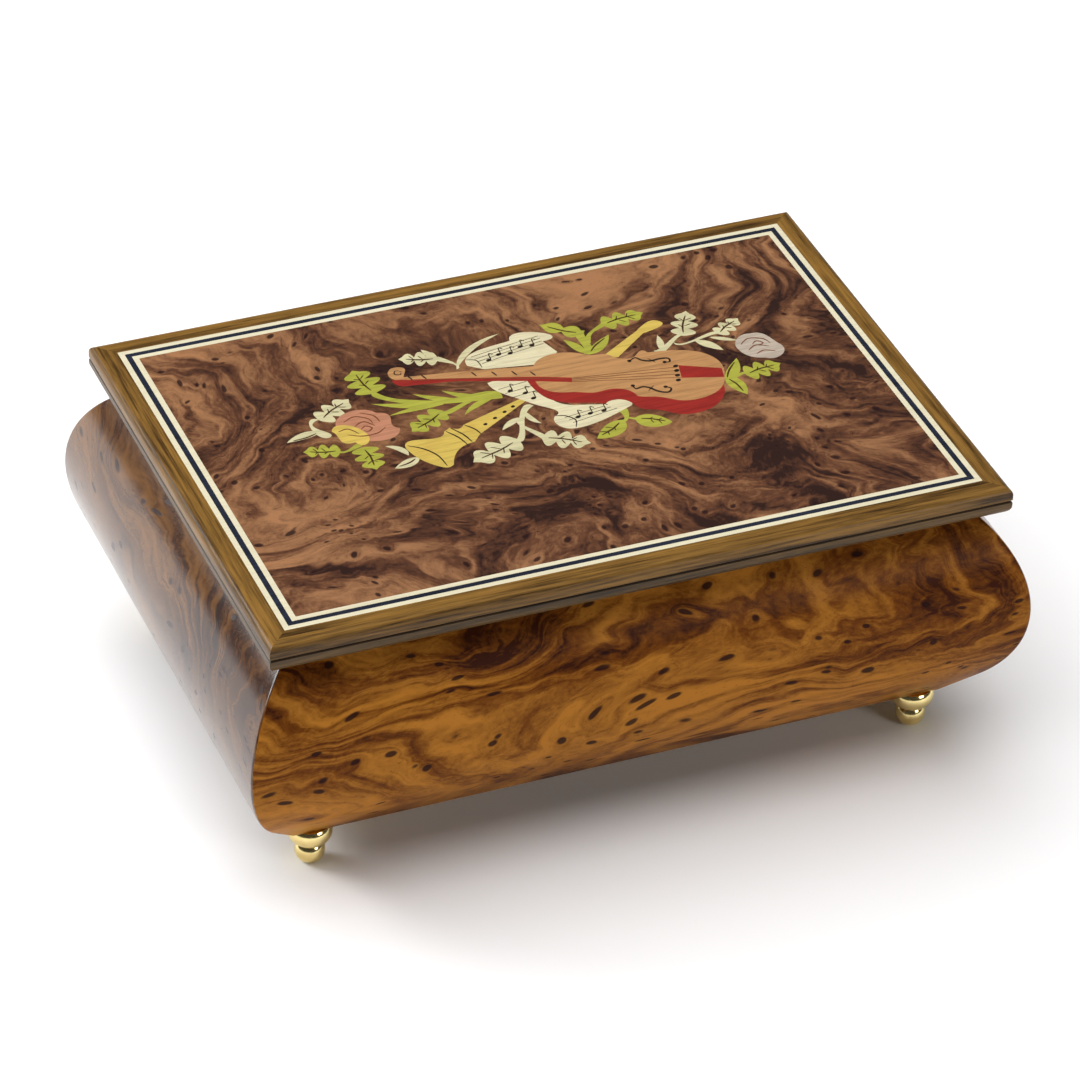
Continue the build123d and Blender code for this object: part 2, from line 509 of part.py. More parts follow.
# ---------------------------------------------------------------- hinges
def make_hinges():
    """Two butt hinges: leaves let into the rim and the lid, one case and two lid knuckles, a pin."""
    half, mid = LEAF_WIDE / 2, 3.2
    case_leaves, lid_leaves, pins, case_screws, lid_screws = [], [], [], [], []
    for x in (-HINGE_X, HINGE_X):
        low = block(x - half, x + half, LEAF_INNER_Y, HINGE_Y - KNUCKLE / 2 - GAP,
                    RIM_Z - 0.05 - LEAF_THICK, RIM_Z - 0.05)
        low += block(x - mid, x + mid, HINGE_Y - KNUCKLE / 2 - 1, HINGE_Y, RIM_Z - 0.05 - LEAF_THICK, RIM_Z - 0.05)
        low += shaft(x - mid, x + mid, HINGE_Y, RIM_Z, KNUCKLE)
        low -= shaft(x - half, x + half, HINGE_Y, RIM_Z, HINGE_PIN)
        up = block(x - half, x + half, LEAF_INNER_Y, HINGE_Y - KNUCKLE / 2 - GAP,
                   RIM_Z + 0.05, RIM_Z + 0.05 + LEAF_THICK)
        for side in (-1, 1):
            near, far = x + side * (mid + 0.15), x + side * half
            up += block(min(near, far), max(near, far), HINGE_Y - KNUCKLE / 2 - 1, HINGE_Y,
                        RIM_Z + 0.05, RIM_Z + 0.05 + LEAF_THICK)
            up += shaft(min(near, far), max(near, far), HINGE_Y, RIM_Z, KNUCKLE)
        up -= shaft(x - half - 1, x + half + 1, HINGE_Y, RIM_Z, HINGE_PIN + 2 * RUN)
        for side in (-6, 6):
            shank, head = 1.6, 2.6
            top, bottom = RIM_Z - 0.08, RIM_Z + 0.08
            low -= post(x + side, 50.2, RIM_Z - 0.4, RIM_Z, head) + post(x + side, 50.2, RIM_Z - 1, RIM_Z, shank)
            up -= post(x + side, 50.2, RIM_Z, RIM_Z + 0.4, head) + post(x + side, 50.2, RIM_Z, RIM_Z + 1, shank)
            screw = post(x + side, 50.2, RIM_Z - 0.4, top, head) + post(x + side, 50.2, RIM_Z - 5.2, top, shank)
            case_screws.append(screw - block(x + side - 2, x + side + 2, 50.05, 50.35, top - 0.15, top))
            screw = post(x + side, 50.2, bottom, RIM_Z + 0.4, head) + post(x + side, 50.2, bottom, RIM_Z + 4.3, shank)
            lid_screws.append(screw - block(x + side - 2, x + side + 2, 50.05, 50.35, bottom, bottom + 0.15))
        case_leaves.append(low)
        lid_leaves.append(up)
        pins.append(shaft(x - half - 0.2, x + half + 0.2, HINGE_Y, RIM_Z, HINGE_PIN))
    save("hinge_case_leaves", *case_leaves)
    save("hinge_lid_leaves", *lid_leaves)
    save("hinge_pins", *pins)
    save("hinge_case_screws", *case_screws)
    save("hinge_lid_screws", *lid_screws)


# ---------------------------------------------------------------- fittings inside the case
def make_interior():
    """Dividers, linings, ring rolls, and the clear cover over the movement with its ledges."""
    x_in, y_in, lined = INNER[0], INNER[1], DIVIDER_X[1]
    save("divider", block(*DIVIDER_X, -y_in, y_in, FLOOR_Z, 52.0))
    save("short_divider", block(*SHORT_DIVIDER_X, -y_in + LINING, y_in - LINING, FLOOR_Z + LINING, 34.0))
    save("floor_lining", block(lined, x_in - LINING, -y_in + LINING, y_in - LINING, FLOOR_Z, FLOOR_Z + LINING))
    save("wall_linings",
         block(lined, x_in - LINING, y_in - LINING, y_in, FLOOR_Z, 61.0),
         block(lined, x_in - LINING, -y_in, -y_in + LINING, FLOOR_Z, 61.0),
         block(x_in - LINING, x_in, -y_in, y_in, FLOOR_Z, 61.0))

    room = x_in - LINING - SHORT_DIVIDER_X[1]
    radius, bottom = ROLL_WIDE / 2, FLOOR_Z + LINING + 0.1
    section = make_face([
        Line((-radius, bottom), (radius, bottom)), Line((radius, bottom), (radius, ROLL_TOP - radius)),
        ThreePointArc((radius, ROLL_TOP - radius), (0, ROLL_TOP), (-radius, ROLL_TOP - radius)),
        Line((-radius, ROLL_TOP - radius), (-radius, bottom))])
    roll = extrude(Plane.XZ * section, y_in - LINING - GAP, both=True)
    save("ring_rolls", *[Pos(SHORT_DIVIDER_X[1] + room * (index + 0.5) / ROLLS, 0, 0) * roll
                         for index in range(ROLLS)])

    left, right = -x_in, DIVIDER_X[0]
    cover = block(left + 0.1, right - 0.1, -y_in + 0.1, y_in - 0.1, *COVER_Z)
    cover -= post(MX + STOP_AT[0], MY + STOP_AT[1], 0, HEIGHT, 2.4)
    screws, holes = [], []
    for x in (left + 5, right - 5):
        for y in (-y_in + LEDGE / 2, y_in - LEDGE / 2):
            screw = post(x, y, COVER_Z[1], COVER_Z[1] + 0.9, 3.4) + post(x, y, COVER_Z[0] - 3, COVER_Z[1], 1.8)
            screws.append(screw - block(x - 2, x + 2, y - 0.25, y + 0.25, COVER_Z[1] + 0.5, COVER_Z[1] + 1))
            holes.append(post(x, y, COVER_Z[0] - 3, COVER_Z[1], 1.8))
    save("movement_cover", cover - holes)
    save("cover_screws", *screws)
    ledges = []
    for side in (-1, 1):
        near, far = sorted((side * y_in, side * (y_in - LEDGE)))
        ledges.append(block(left, right, near, far, COVER_Z[0] - 4, COVER_Z[0]) - holes)
    save("cover_ledges", *ledges)


# ---------------------------------------------------------------- movement
def at(x, y, shape):
    """Put a piece drawn about the movement's own middle where it sits in the case."""
    return Pos(MX, MY, 0) * Pos(x, y, 0) * shape


def make_bedplate():
    """Cast plate that carries the movement, and the screws that hold it through the floor."""
    plate = block(-26, 29.5, -19.5, 19.5, *PLATE_Z)
    plate = fillet(plate.edges().filter_by(Axis.Z), 3)
    plate -= post(*BARREL_AT, 0, 30, ARBOR + 2 * RUN)
    plate -= post(*STOP_AT, 0, 30, STOP_ROD + 2 * RUN)
    screws = []
    for x, y in PLATE_SCREWS:
        plate -= post(x, y, 0, PLATE_Z[1] - 0.5, 2.4)
        screw = post(x, y, BASE_Z - 1.2, BASE_Z, 5.0) + post(x, y, BASE_Z, PLATE_Z[1] - 0.5, 2.4)
        screws.append(at(0, 0, screw - block(x - 3, x + 3, y - 0.4, y + 0.4, BASE_Z - 1.3, BASE_Z - 0.7)))
    save("bedplate", at(0, 0, plate))
    save("bedplate_screws", *screws)


def make_comb():
    """Steel comb of eighteen teeth on its cast block; returns the two screws that hold it."""
    tip_y = CYLINDER_Y - CYLINDER_R - TIP_GAP
    root_y, back_y, top = -11.5, -18.5, AXIS_Z + 0.6
    seat = top - 1.2
    x0, x1 = CYLINDER_X[0] - 0.6, CYLINDER_X[1] + 0.6
    comb = block(x0, x1, back_y, root_y, seat, top)
    for note in range(NOTES):
        middle = note_x(note)
        comb += block(middle - TOOTH_WIDE / 2, middle + TOOTH_WIDE / 2, root_y - 0.5,
                      tip_y, seat + 0.3, top)
    base = block(x0, x1, back_y, root_y, PLATE_Z[1], seat)
    screws = []
    for x in (x0 + 4.5, x1 - 4.5):
        y = (root_y + back_y) / 2
        hole = post(x, y, PLATE_Z[1] + 2, top, 2.4)
        comb -= hole
        base -= hole
        screw = hole + post(x, y, top, top + 1.2, 4.2)
        screws.append(at(0, 0, screw - block(x - 3, x + 3, y - 0.35, y + 0.35, top + 0.7, top + 2)))
    save("comb", at(0, 0, comb))
    save("comb_block", at(0, 0, base))
    return screws


def note_x(note):
    """Where the track of one note lies along the cylinder."""
    middle = sum(CYLINDER_X) / 2
    return middle + (note - (NOTES - 1) / 2) * TOOTH_PITCH


def make_cylinder():
    """Pinned brass cylinder on its arbor, the gear at each end, and its two bearings."""
    length = CYLINDER_X
    drum = shaft(*length, CYLINDER_Y, AXIS_Z, 2 * CYLINDER_R) - shaft(*length, CYLINDER_Y, AXIS_Z, 2.0)
    pins = []
    for note in range(NOTES):
        for beat in range(3):
            angle = (note * 137.5 + beat * 118.0 + (note % 4) * 9.0) % 360
            pin = Pos(note_x(note), CYLINDER_Y, AXIS_Z) * Rot(angle, 0, 0) * post(
                0, 0, CYLINDER_R, CYLINDER_R + PIN_OUT, 0.32)
            pins.append(at(0, 0, pin))
    arbor = shaft(-1.7, 23.2, CYLINDER_Y, AXIS_Z, 2.0)
    drive = gear_on_x(-1.7, -0.2, CYLINDER_Y, AXIS_Z, 4.5, PINION_TEETH, 0.9)
    far = gear_on_x(20.3, 21.5, CYLINDER_Y, AXIS_Z, CYLINDER_GEAR_R, CYLINDER_GEAR_TEETH, 0.6)
    bore = shaft(-3, 25, CYLINDER_Y, AXIS_Z, 2.0)
    save("cylinder", at(0, 0, drum))
    save("cylinder_pins", *pins)
    save("cylinder_arbor", at(0, 0, arbor))
    save("cylinder_gears", at(0, 0, drive - bore), at(0, 0, far - bore))

    run = shaft(-3, 25, CYLINDER_Y, AXIS_Z, 2.0 + 2 * RUN)
    axle_run = shaft(18, 25, GOVERNOR_Y, AXIS_Z, 1.4 + 2 * RUN)
    left = block(0.1, 1.3, CYLINDER_Y - 4, CYLINDER_Y + 4, PLATE_Z[1], AXIS_Z + 2.5) - run
    right = block(21.8, 23.0, CYLINDER_Y - 4, GOVERNOR_Y + 2.4, PLATE_Z[1], AXIS_Z + 2.5) - run - axle_run
    save("cylinder_bearings", at(0, 0, left), at(0, 0, right))


def make_barrel():
    """Spring barrel with its ring of teeth, and the mainspring inside."""
    z0, z1, wall = 17.2, 27.2, 1.0
    cup = post(0, 0, z0, z1, 2 * BARREL_R) - post(0, 0, z0 + wall, z1, 2 * (BARREL_R - wall))
    cup -= post(0, 0, 0, 40, ARBOR + 2 * RUN)
    ring = Pos(0, 0, z1) * gear(RING_R, RING_TEETH, 1.0, 1.8) - post(0, 0, 0, 40, ARBOR + 2 * RUN)
    coils = []
    turns, thick, pitch, inside = 6, 0.45, 1.05, 2.6
    for turn in range(turns):
        radius = inside + turn * pitch
        coils.append(post(0, 0, z0 + wall + 0.4, z1 - 0.4, 2 * (radius + thick))
                     - post(0, 0, z0, z1, 2 * radius))
    save("spring_barrel", at(*BARREL_AT, cup))
    save("barrel_gear", at(*BARREL_AT, ring))
    save("mainspring", *[at(*BARREL_AT, coil) for coil in coils])


def make_winding(comb_screws):
    """Arbor, ratchet wheel and click, the bridge over the barrel, and the key under the base."""
    ratchet_z = (31.4, 32.6)
    arbor = post(0, 0, 5.0, 33.6, ARBOR)
    teeth = []
    for tooth in range(12):
        start, end = 2 * pi * tooth / 12, 2 * pi * (tooth + 0.92) / 12
        teeth += [(5.0 * cos(start), 5.0 * sin(start)), (4.0 * cos(end), 4.0 * sin(end))]
    ratchet = Pos(0, 0, ratchet_z[0]) * extrude(make_face(Polyline(*teeth, close=True)), 1.2)
    ratchet -= post(0, 0, 0, 40, ARBOR)
    save("winding_arbor", at(*BARREL_AT, arbor))
    save("ratchet_wheel", at(*BARREL_AT, ratchet))

    wings = make_face([
        Line((-3, 1.6), (3, 1.6)), ThreePointArc((3, 1.6), (11.0, 4.6), (3, 7.8)), Line((3, 7.8), (-3, 7.8)),
        ThreePointArc((-3, 7.8), (-11.0, 4.6), (-3, 1.6))])
    key = extrude(Plane.XZ * wings, 0.9, both=True) + post(0, 0, 3.0, 9.0, 6.0)
    key -= extrude(Plane.XZ * (Pos(6.0, 4.7) * Circle(1.6) + Pos(-6.0, 4.7) * Circle(1.6)), 3, both=True)
    key -= post(0, 0, 5.0, 10, ARBOR)
    save("winding_key", at(*BARREL_AT, Rot(0, 0, 25) * key))

    bx, by = BARREL_AT
    bridge = block(bx - 4, bx + 4, -11.0, 18.9, 29.6, 31.1)
    bridge += block(bx - 4, bx + 4, -11.0, -7.6, PLATE_Z[1], 29.6)
    bridge += block(bx - 4, bx + 4, 15.5, 18.9, PLATE_Z[1], 29.6)
    bridge -= post(bx, by, 0, 40, ARBOR + 2 * RUN)
    bridge -= post(*CLICK_AT, 29.6, 31.1, 1.6)
    screws = []
    for y in (-9.3, 17.2):
        hole = post(bx, y, 24.0, 31.1, 2.0)
        bridge -= hole
        screw = hole + post(bx, y, 31.1, 32.2, 3.6)
        screws.append(at(0, 0, screw - block(bx - 2.5, bx + 2.5, y - 0.3, y + 0.3, 31.8, 33)))
    save("barrel_bridge", at(0, 0, bridge))

    cx, cy = CLICK_AT
    click = post(cx, cy, 31.2, 32.5, 3.2)
    tip = (bx + 5.35 * cos(radians(72)), by + 5.35 * sin(radians(72)))
    click += extrude(Pos(0, 0, 31.2) * make_face(Polyline((cx - 1.3, cy), tip, (tip[0] + 0.9, tip[1] + 0.1),
                                                         (cx + 1.3, cy), close=True)), 1.3)
    click -= post(cx, cy, 30, 34, 1.6 + 2 * RUN)
    save("click", at(0, 0, click))
    shoulder = post(cx, cy, 29.6, 32.6, 1.6) + post(cx, cy, 32.6, 33.3, 2.8)
    save("movement_screws", *comb_screws, *screws, at(0, 0, shoulder))


def make_governor():
    """Governor: wheel and pinion on their axle, the worm with its fan, and the frame."""
    axle = shaft(20.0, 28.4, GOVERNOR_Y, AXIS_Z, 1.4)
    bore = shaft(18, 30, GOVERNOR_Y, AXIS_Z, 1.4)
    pinion = gear_on_x(20.3, 21.5, GOVERNOR_Y, AXIS_Z, GOVERNOR_PINION_R, GOVERNOR_TEETH, 0.5) - bore
    wheel = gear_on_x(25.0, 26.2, GOVERNOR_Y, AXIS_Z, WORM_WHEEL_R, WORM_WHEEL_TEETH, 0.9) - bore
    save("governor_wheels", at(0, 0, axle), at(0, 0, pinion), at(0, 0, wheel))

    thread = []
    for turn in range(8):
        z = 22.0 + turn
        thread += [(1.0, z), (WORM_R, z + 0.35), (WORM_R, z + 0.65)]
    lines = [(0.6, 17.6), (0.6, 21.4), (1.0, 21.4)] + thread + [(1.0, 30.0), (1.0, 31.0), (0.6, 31.0),
                                                               (0.6, 39.2), (0, 39.2), (0, 17.6)]
    worm = revolve(Plane.XZ * make_face(Polyline(*lines, close=True)), Axis.Z)
    fan = post(0, 0, 32.6, FAN_Z[1], 2.6) + block(-FAN_R, FAN_R, -0.25, 0.25, *FAN_Z)
    fan -= post(0, 0, 30, 40, 1.2)
    save("governor_worm", at(*WORM_AT, worm))
    save("governor_fan", at(*WORM_AT, fan))

    frame = block(23.6, 28.5, 0.0, 15.6, PLATE_Z[1], 18.2)
    frame += block(23.6, 28.0, 0.0, 1.4, PLATE_Z[1], 39.8)
    frame += block(24.0, 27.2, 0.0, 8.6, 38.6, 39.8)
    frame += block(27.3, 28.5, 10.8, 15.6, PLATE_Z[1], 29.0)
    frame -= post(*WORM_AT, 17.4, 41, 1.2 + 2 * RUN)
    frame -= shaft(20, 28.6, GOVERNOR_Y, AXIS_Z, 1.4 + 2 * RUN)
    save("governor_frame", at(0, 0, frame))


def make_stop():
    """Rod that the closed lid holds down, with the arm that stops the fan."""
    x, y = STOP_AT
    rod = post(x, y, 15.0, RIM_Z - 0.25, STOP_ROD)
    reach_x, reach_y = WORM_AT[0] - x, WORM_AT[1] - y
    span = hypot(reach_x, reach_y)
    arm = Pos(x, y, 35.7) * Rot(0, 0, degrees(atan2(reach_y, reach_x))) * Pos(
        (span - FAN_R - 0.4) / 2, 0, 0) * Box(span - FAN_R - 0.4, 1.0, 1.0)
    collar = post(x, y, 21.2, 22.2, 3.0)
    save("stop_rod", at(0, 0, rod + arm + collar))


make_case()
make_lid(make_inlays())
make_hinges()
make_interior()
make_bedplate()
comb_screws = make_comb()
make_cylinder()
make_barrel()
make_winding(comb_screws)
make_governor()
make_stop()
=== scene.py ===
"""Scene of an inlaid musical jewellery box: burl case, marquetry lid, lined tray and cylinder movement."""
import logging
import math
from dataclasses import dataclass, field
from enum import Enum
from typing import Any, Sequence

import bmesh
import bpy
from mathutils import Matrix, Vector


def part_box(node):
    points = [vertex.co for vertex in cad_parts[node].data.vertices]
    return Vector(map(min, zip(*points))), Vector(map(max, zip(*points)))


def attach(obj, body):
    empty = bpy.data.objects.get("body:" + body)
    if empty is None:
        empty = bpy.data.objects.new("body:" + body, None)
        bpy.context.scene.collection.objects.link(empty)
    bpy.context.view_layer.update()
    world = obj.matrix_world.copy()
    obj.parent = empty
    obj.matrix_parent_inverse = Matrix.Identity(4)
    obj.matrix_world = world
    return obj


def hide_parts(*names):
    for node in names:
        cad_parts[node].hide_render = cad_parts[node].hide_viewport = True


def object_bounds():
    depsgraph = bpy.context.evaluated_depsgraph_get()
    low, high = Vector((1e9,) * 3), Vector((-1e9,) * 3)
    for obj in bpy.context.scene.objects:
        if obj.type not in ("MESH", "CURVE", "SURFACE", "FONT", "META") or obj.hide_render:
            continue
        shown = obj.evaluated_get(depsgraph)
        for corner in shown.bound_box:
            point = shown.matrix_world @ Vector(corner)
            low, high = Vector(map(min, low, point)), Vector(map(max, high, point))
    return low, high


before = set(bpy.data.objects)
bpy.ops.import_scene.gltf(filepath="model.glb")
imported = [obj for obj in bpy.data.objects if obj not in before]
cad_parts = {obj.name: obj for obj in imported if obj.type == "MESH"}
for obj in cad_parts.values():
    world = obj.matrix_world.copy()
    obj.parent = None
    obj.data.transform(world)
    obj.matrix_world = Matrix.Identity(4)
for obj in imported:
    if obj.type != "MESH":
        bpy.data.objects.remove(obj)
CAD_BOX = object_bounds()
LOG = logging.getLogger("music_box")
MM = 0.001
FAR = 1000.0
GROOVE_HEIGHT = 3.9
Colour = tuple[float, float, float]
Triple = tuple[float, float, float]


# ---------------------------------------------------------------- shader maths
class Socket:
    """One output of a shader node, with arithmetic that adds Math nodes."""

    def __init__(self, shader: "Shader", socket: bpy.types.NodeSocket) -> None:
        """Keep the shader that the socket belongs to."""
        self.shader, self.socket = shader, socket

    def out(self, name: str) -> "Socket":
        """Another output of the same node."""
        return Socket(self.shader, self.socket.node.outputs[name])

    def maths(self, operation: str, *values: Any) -> "Socket":
        """Math node of this operation on the given values.

        Args:
            operation: Math node's operation.
            values: numbers or sockets, in order.
        Returns:
            The node's value.
        """
        return self.shader.node("ShaderNodeMath", {"operation": operation}, *values)

    def __add__(self, other: Any) -> "Socket":
        """Sum."""
        return self.maths("ADD", self, other)

    def __sub__(self, other: Any) -> "Socket":
        """Difference."""
        return self.maths("SUBTRACT", self, other)

    def __rsub__(self, other: Any) -> "Socket":
        """Reflected difference."""
        return self.maths("SUBTRACT", other, self)

    def __mul__(self, other: Any) -> "Socket":
        """Product."""
        return self.maths("MULTIPLY", self, other)

    __radd__, __rmul__ = __add__, __mul__

    def band(self, low: float, high: float) -> "Socket":
        """Smooth step from 0 at low to 1 at high, or the other way when high is below low."""
        smooth = {"interpolation_type": "SMOOTHSTEP", "clamp": True}
        if high >= low:
            return self.shader.node("ShaderNodeMapRange", smooth, self, low, high, 0.0, 1.0)
        return self.shader.node("ShaderNodeMapRange", smooth, self, high, low, 1.0, 0.0)


class Shader:
    """A material under construction, with one Principled surface."""

    def __init__(self, name: str, **constants: Any) -> None:
        """Start the material and set the constant sockets.

        Args:
            name: the material's name.
            constants: socket names, with underscores for spaces, and their values.
        """
        self.material = bpy.data.materials.new(name)
        self.material.use_nodes = True
        self.tree = self.material.node_tree
        self.tree.nodes.clear()
        self.surface = self.tree.nodes.new("ShaderNodeBsdfPrincipled")
        output = self.tree.nodes.new("ShaderNodeOutputMaterial")
        self.tree.links.new(self.surface.outputs[0], output.inputs["Surface"])
        for key, value in constants.items():
            self.surface.inputs[key.replace("_", " ")].default_value = value

    def node(self, kind: str, settings: dict[str, Any] | None = None, *values: Any, **named: Any) -> Socket:
        """Add any node.

        Args:
            kind: the node's type.
            settings: its properties, set first; "stops" fills a colour ramp.
            values: numbers, colours or sockets for its inputs in order; None leaves one alone.
            named: the same by input name, with underscores for spaces.
        Returns:
            The node's first enabled output.
        """
        node = self.tree.nodes.new(kind)
        for key, value in (settings or {}).items():
            if key == "stops":
                ramp = node.color_ramp
                while len(ramp.elements) < len(value):
                    ramp.elements.new(1.0)
                for element, (place, colour) in zip(ramp.elements, value):
                    element.position, element.color = place, (*colour, 1.0)
            else:
                setattr(node, key, value)
        inputs = [socket for socket in node.inputs if socket.enabled]
        pairs = list(zip(inputs, values)) + [(node.inputs[key.replace("_", " ")], value)
                                             for key, value in named.items()]
        for socket, value in pairs:
            if value is None:
                continue
            if isinstance(value, Socket):
                self.tree.links.new(value.socket, socket)
            elif socket.type == "RGBA" and len(value) == 3:
                socket.default_value = (*value, 1.0)
            else:
                socket.default_value = value
        return Socket(self, [socket for socket in node.outputs if socket.enabled][0])

    def place(self, scale: Sequence[float], shift: Sequence[float] = (0, 0, 0)) -> Socket:
        """Object coordinates in scaled millimetres.

        Args:
            scale: pattern units for each millimetre, along X, Y and Z.
            shift: offset in pattern units.
        Returns:
            The coordinates.
        """
        coordinates = self.node("ShaderNodeTexCoord").out("Object")
        return self.node("ShaderNodeMapping", {"vector_type": "POINT"}, Vector=coordinates, Location=shift,
                         Scale=tuple(part / MM for part in scale))

    def noise(self, at: Socket, scale: float, detail: float = 2.0, rough: float = 0.5) -> Socket:
        """Noise texture's value; its colour is the Color output."""
        return self.node("ShaderNodeTexNoise", None, Vector=at, Scale=scale, Detail=detail, Roughness=rough)

    def warp(self, at: Socket, scale: float, reach: float) -> Socket:
        """Coordinates pushed about by noise.

        Args:
            at: coordinates.
            scale: the noise's scale.
            reach: how far a point may move, in the coordinates' units.
        Returns:
            The moved coordinates.
        """
        push = self.noise(at, scale).out("Color")
        centred = self.node("ShaderNodeVectorMath", {"operation": "SUBTRACT"}, push, (0.5, 0.5, 0.5))
        return self.node("ShaderNodeVectorMath", {"operation": "MULTIPLY_ADD"}, centred, (reach,) * 3, at)

    def ramp(self, value: Socket, stops: Sequence[tuple[float, Colour]]) -> Socket:
        """Colour ramp over a value."""
        return self.node("ShaderNodeValToRGB", {"stops": stops}, value)

    def mix(self, share: Any, first: Any, second: Any, blend: str = "MIX") -> Socket:
        """Mix of two colours."""
        return self.node("ShaderNodeMix", {"data_type": "RGBA", "blend_type": blend}, share, first, second)

    def bump(self, height: Socket, depth_mm: float, strength: float = 1.0) -> None:
        """Feed a bump into the surface's normal."""
        bump = self.node("ShaderNodeBump", None, Height=height, Distance=depth_mm * MM, Strength=strength)
        self.feed(Normal=bump)

    def feed(self, **sockets: Any) -> None:
        """Link values to the surface's sockets."""
        for key, value in sockets.items():
            self.tree.links.new(value.socket, self.surface.inputs[key.replace("_", " ")])


# ---------------------------------------------------------------- finishes
class Grain(Enum):
    """Which way a piece's grain runs."""

    ALONG_X = 0
    ALONG_Y = 1


class Mark(Enum):
    """What a placed feature of the burl is."""

    KNOT = 0
    EYES = 1
    CLOUD = 2
    GOLD = 3


@dataclass(frozen=True)
class Feature:
    """One placed feature of the burl, with its centre and half sizes in millimetres."""

    kind: Mark
    at: Triple
    reach: Triple


@dataclass(frozen=True)
class Burl:
    """Satin lacquered root burl: growth lines round knots, dark clouds and clusters of small eyes."""

    name: str
    seed: float
    dark: Colour
    middle: Colour
    gold: Colour
    clouds: float = 0.5
    lines: float = 56.0
    gloss: float = 0.24
    haze: float = 0.3
    stretch: Triple = (0.62, 0.62, 1.0)
    scatter: float = 0.35
    features: tuple[Feature, ...] = ()

    def spread(self, sh: Shader, at: Socket, kind: Mark) -> Socket | float:
        """How strongly the placed features of one kind are felt.

        Args:
            sh: the material.
            at: coordinates in millimetres.
            kind: which features.
        Returns:
            A value from 0 to 1, or 0 where there are none.
        """
        total: Socket | float = 0.0
        for feature in self.features:
            if feature.kind is kind:
                away = sh.node("ShaderNodeVectorMath", {"operation": "SUBTRACT"}, at, feature.at)
                away = sh.node("ShaderNodeVectorMath", {"operation": "MULTIPLY"}, away,
                               tuple(1.0 / part for part in feature.reach))
                felt = sh.node("ShaderNodeVectorMath", {"operation": "LENGTH"}, away).band(1.0, 0.0)
                total = felt + total
        return total if isinstance(total, float) else total.maths("MINIMUM", 1.0)

    def material(self) -> bpy.types.Material:
        """Build the material."""
        sh = Shader(self.name, Coat_Weight=self.haze, Coat_Roughness=0.18, IOR=1.46,
                    Specular_IOR_Level=0.06 + self.haze * 0.75)
        at = sh.place(self.stretch, (self.seed, self.seed * 0.7, -self.seed))
        wide = sh.warp(at, 0.016, 42.0)
        near = sh.warp(wide, 0.05, 13.0)
        fine = sh.warp(near, 0.22, 2.4)
        here = sh.warp(sh.place((1, 1, 1)), 0.075, 11.0)
        knots, placed, clouds, golds = (self.spread(sh, here, kind) for kind in Mark)
        eyes = sh.node("ShaderNodeTexVoronoi", {"feature": "SMOOTH_F1"}, Vector=near, Scale=0.27,
                       Smoothness=0.25, Randomness=1.0)
        cluster = sh.noise(wide, 0.028, 1.0).band(0.58, 0.72) * self.scatter + placed
        cluster = cluster.maths("MINIMUM", 1.0)
        flow = sh.noise(near, 0.012, 1.0) + knots * 0.22 + eyes.band(0.8, 0.0) * cluster * 0.022
        split = sh.node("ShaderNodeSeparateXYZ", None, wide)
        growth = sh.node("ShaderNodeCombineXYZ", None, flow * self.lines, split.out("X") * 0.06,
                         split.out("Y") * 0.06)
        lines = sh.noise(growth, 1.0, 4.0, 0.6)
        fibre = sh.noise(fine, 1.1, 5.0, 0.7)
        cloud = sh.noise(wide, 0.022, 3.0, 0.55)
        tone = (lines - 0.5) * 2.2 + (cloud - 0.5) * 1.6 + (fibre - 0.5) * 0.7 + golds * 0.40 - clouds * 0.26
        colour = sh.ramp(tone + 0.5, [(0.16, self.dark), (0.46, self.middle), (0.78, self.gold),
                                      (1.0, tuple(part * 1.3 for part in self.gold))])
        shade = sh.noise(near, 0.03, 3.0, 0.6).band(0.62 - 0.18 * self.clouds, 0.76 - 0.18 * self.clouds)
        shade = (shade + clouds * 0.75 + cluster.band(0.15, 1.0) * 0.75).maths("MINIMUM", 1.0)
        deep = tuple(part * 0.55 for part in self.dark)
        colour = sh.mix(shade * (0.5 + 0.42 * self.clouds), colour, deep)
        spot = (cluster * 0.44 - eyes).band(0.0, 0.09)
        colour = sh.mix(spot * 0.9, colour, (0.014, 0.003, 0.003))
        if isinstance(knots, Socket):
            colour = sh.mix(knots.band(0.80, 1.0) * 0.55, colour, deep)
        pores = sh.noise(fine, 2.4, 2.0).band(0.62, 0.74)
        colour = sh.mix(pores * 0.4, colour, self.dark)
        sh.feed(Base_Color=colour, Roughness=fibre * 0.14 + spot * 0.1 + (self.gloss - 0.03))
        sh.bump(fibre * 0.6 - pores * 0.5 - spot * 0.8, 0.04, 0.45)
        return sh.material


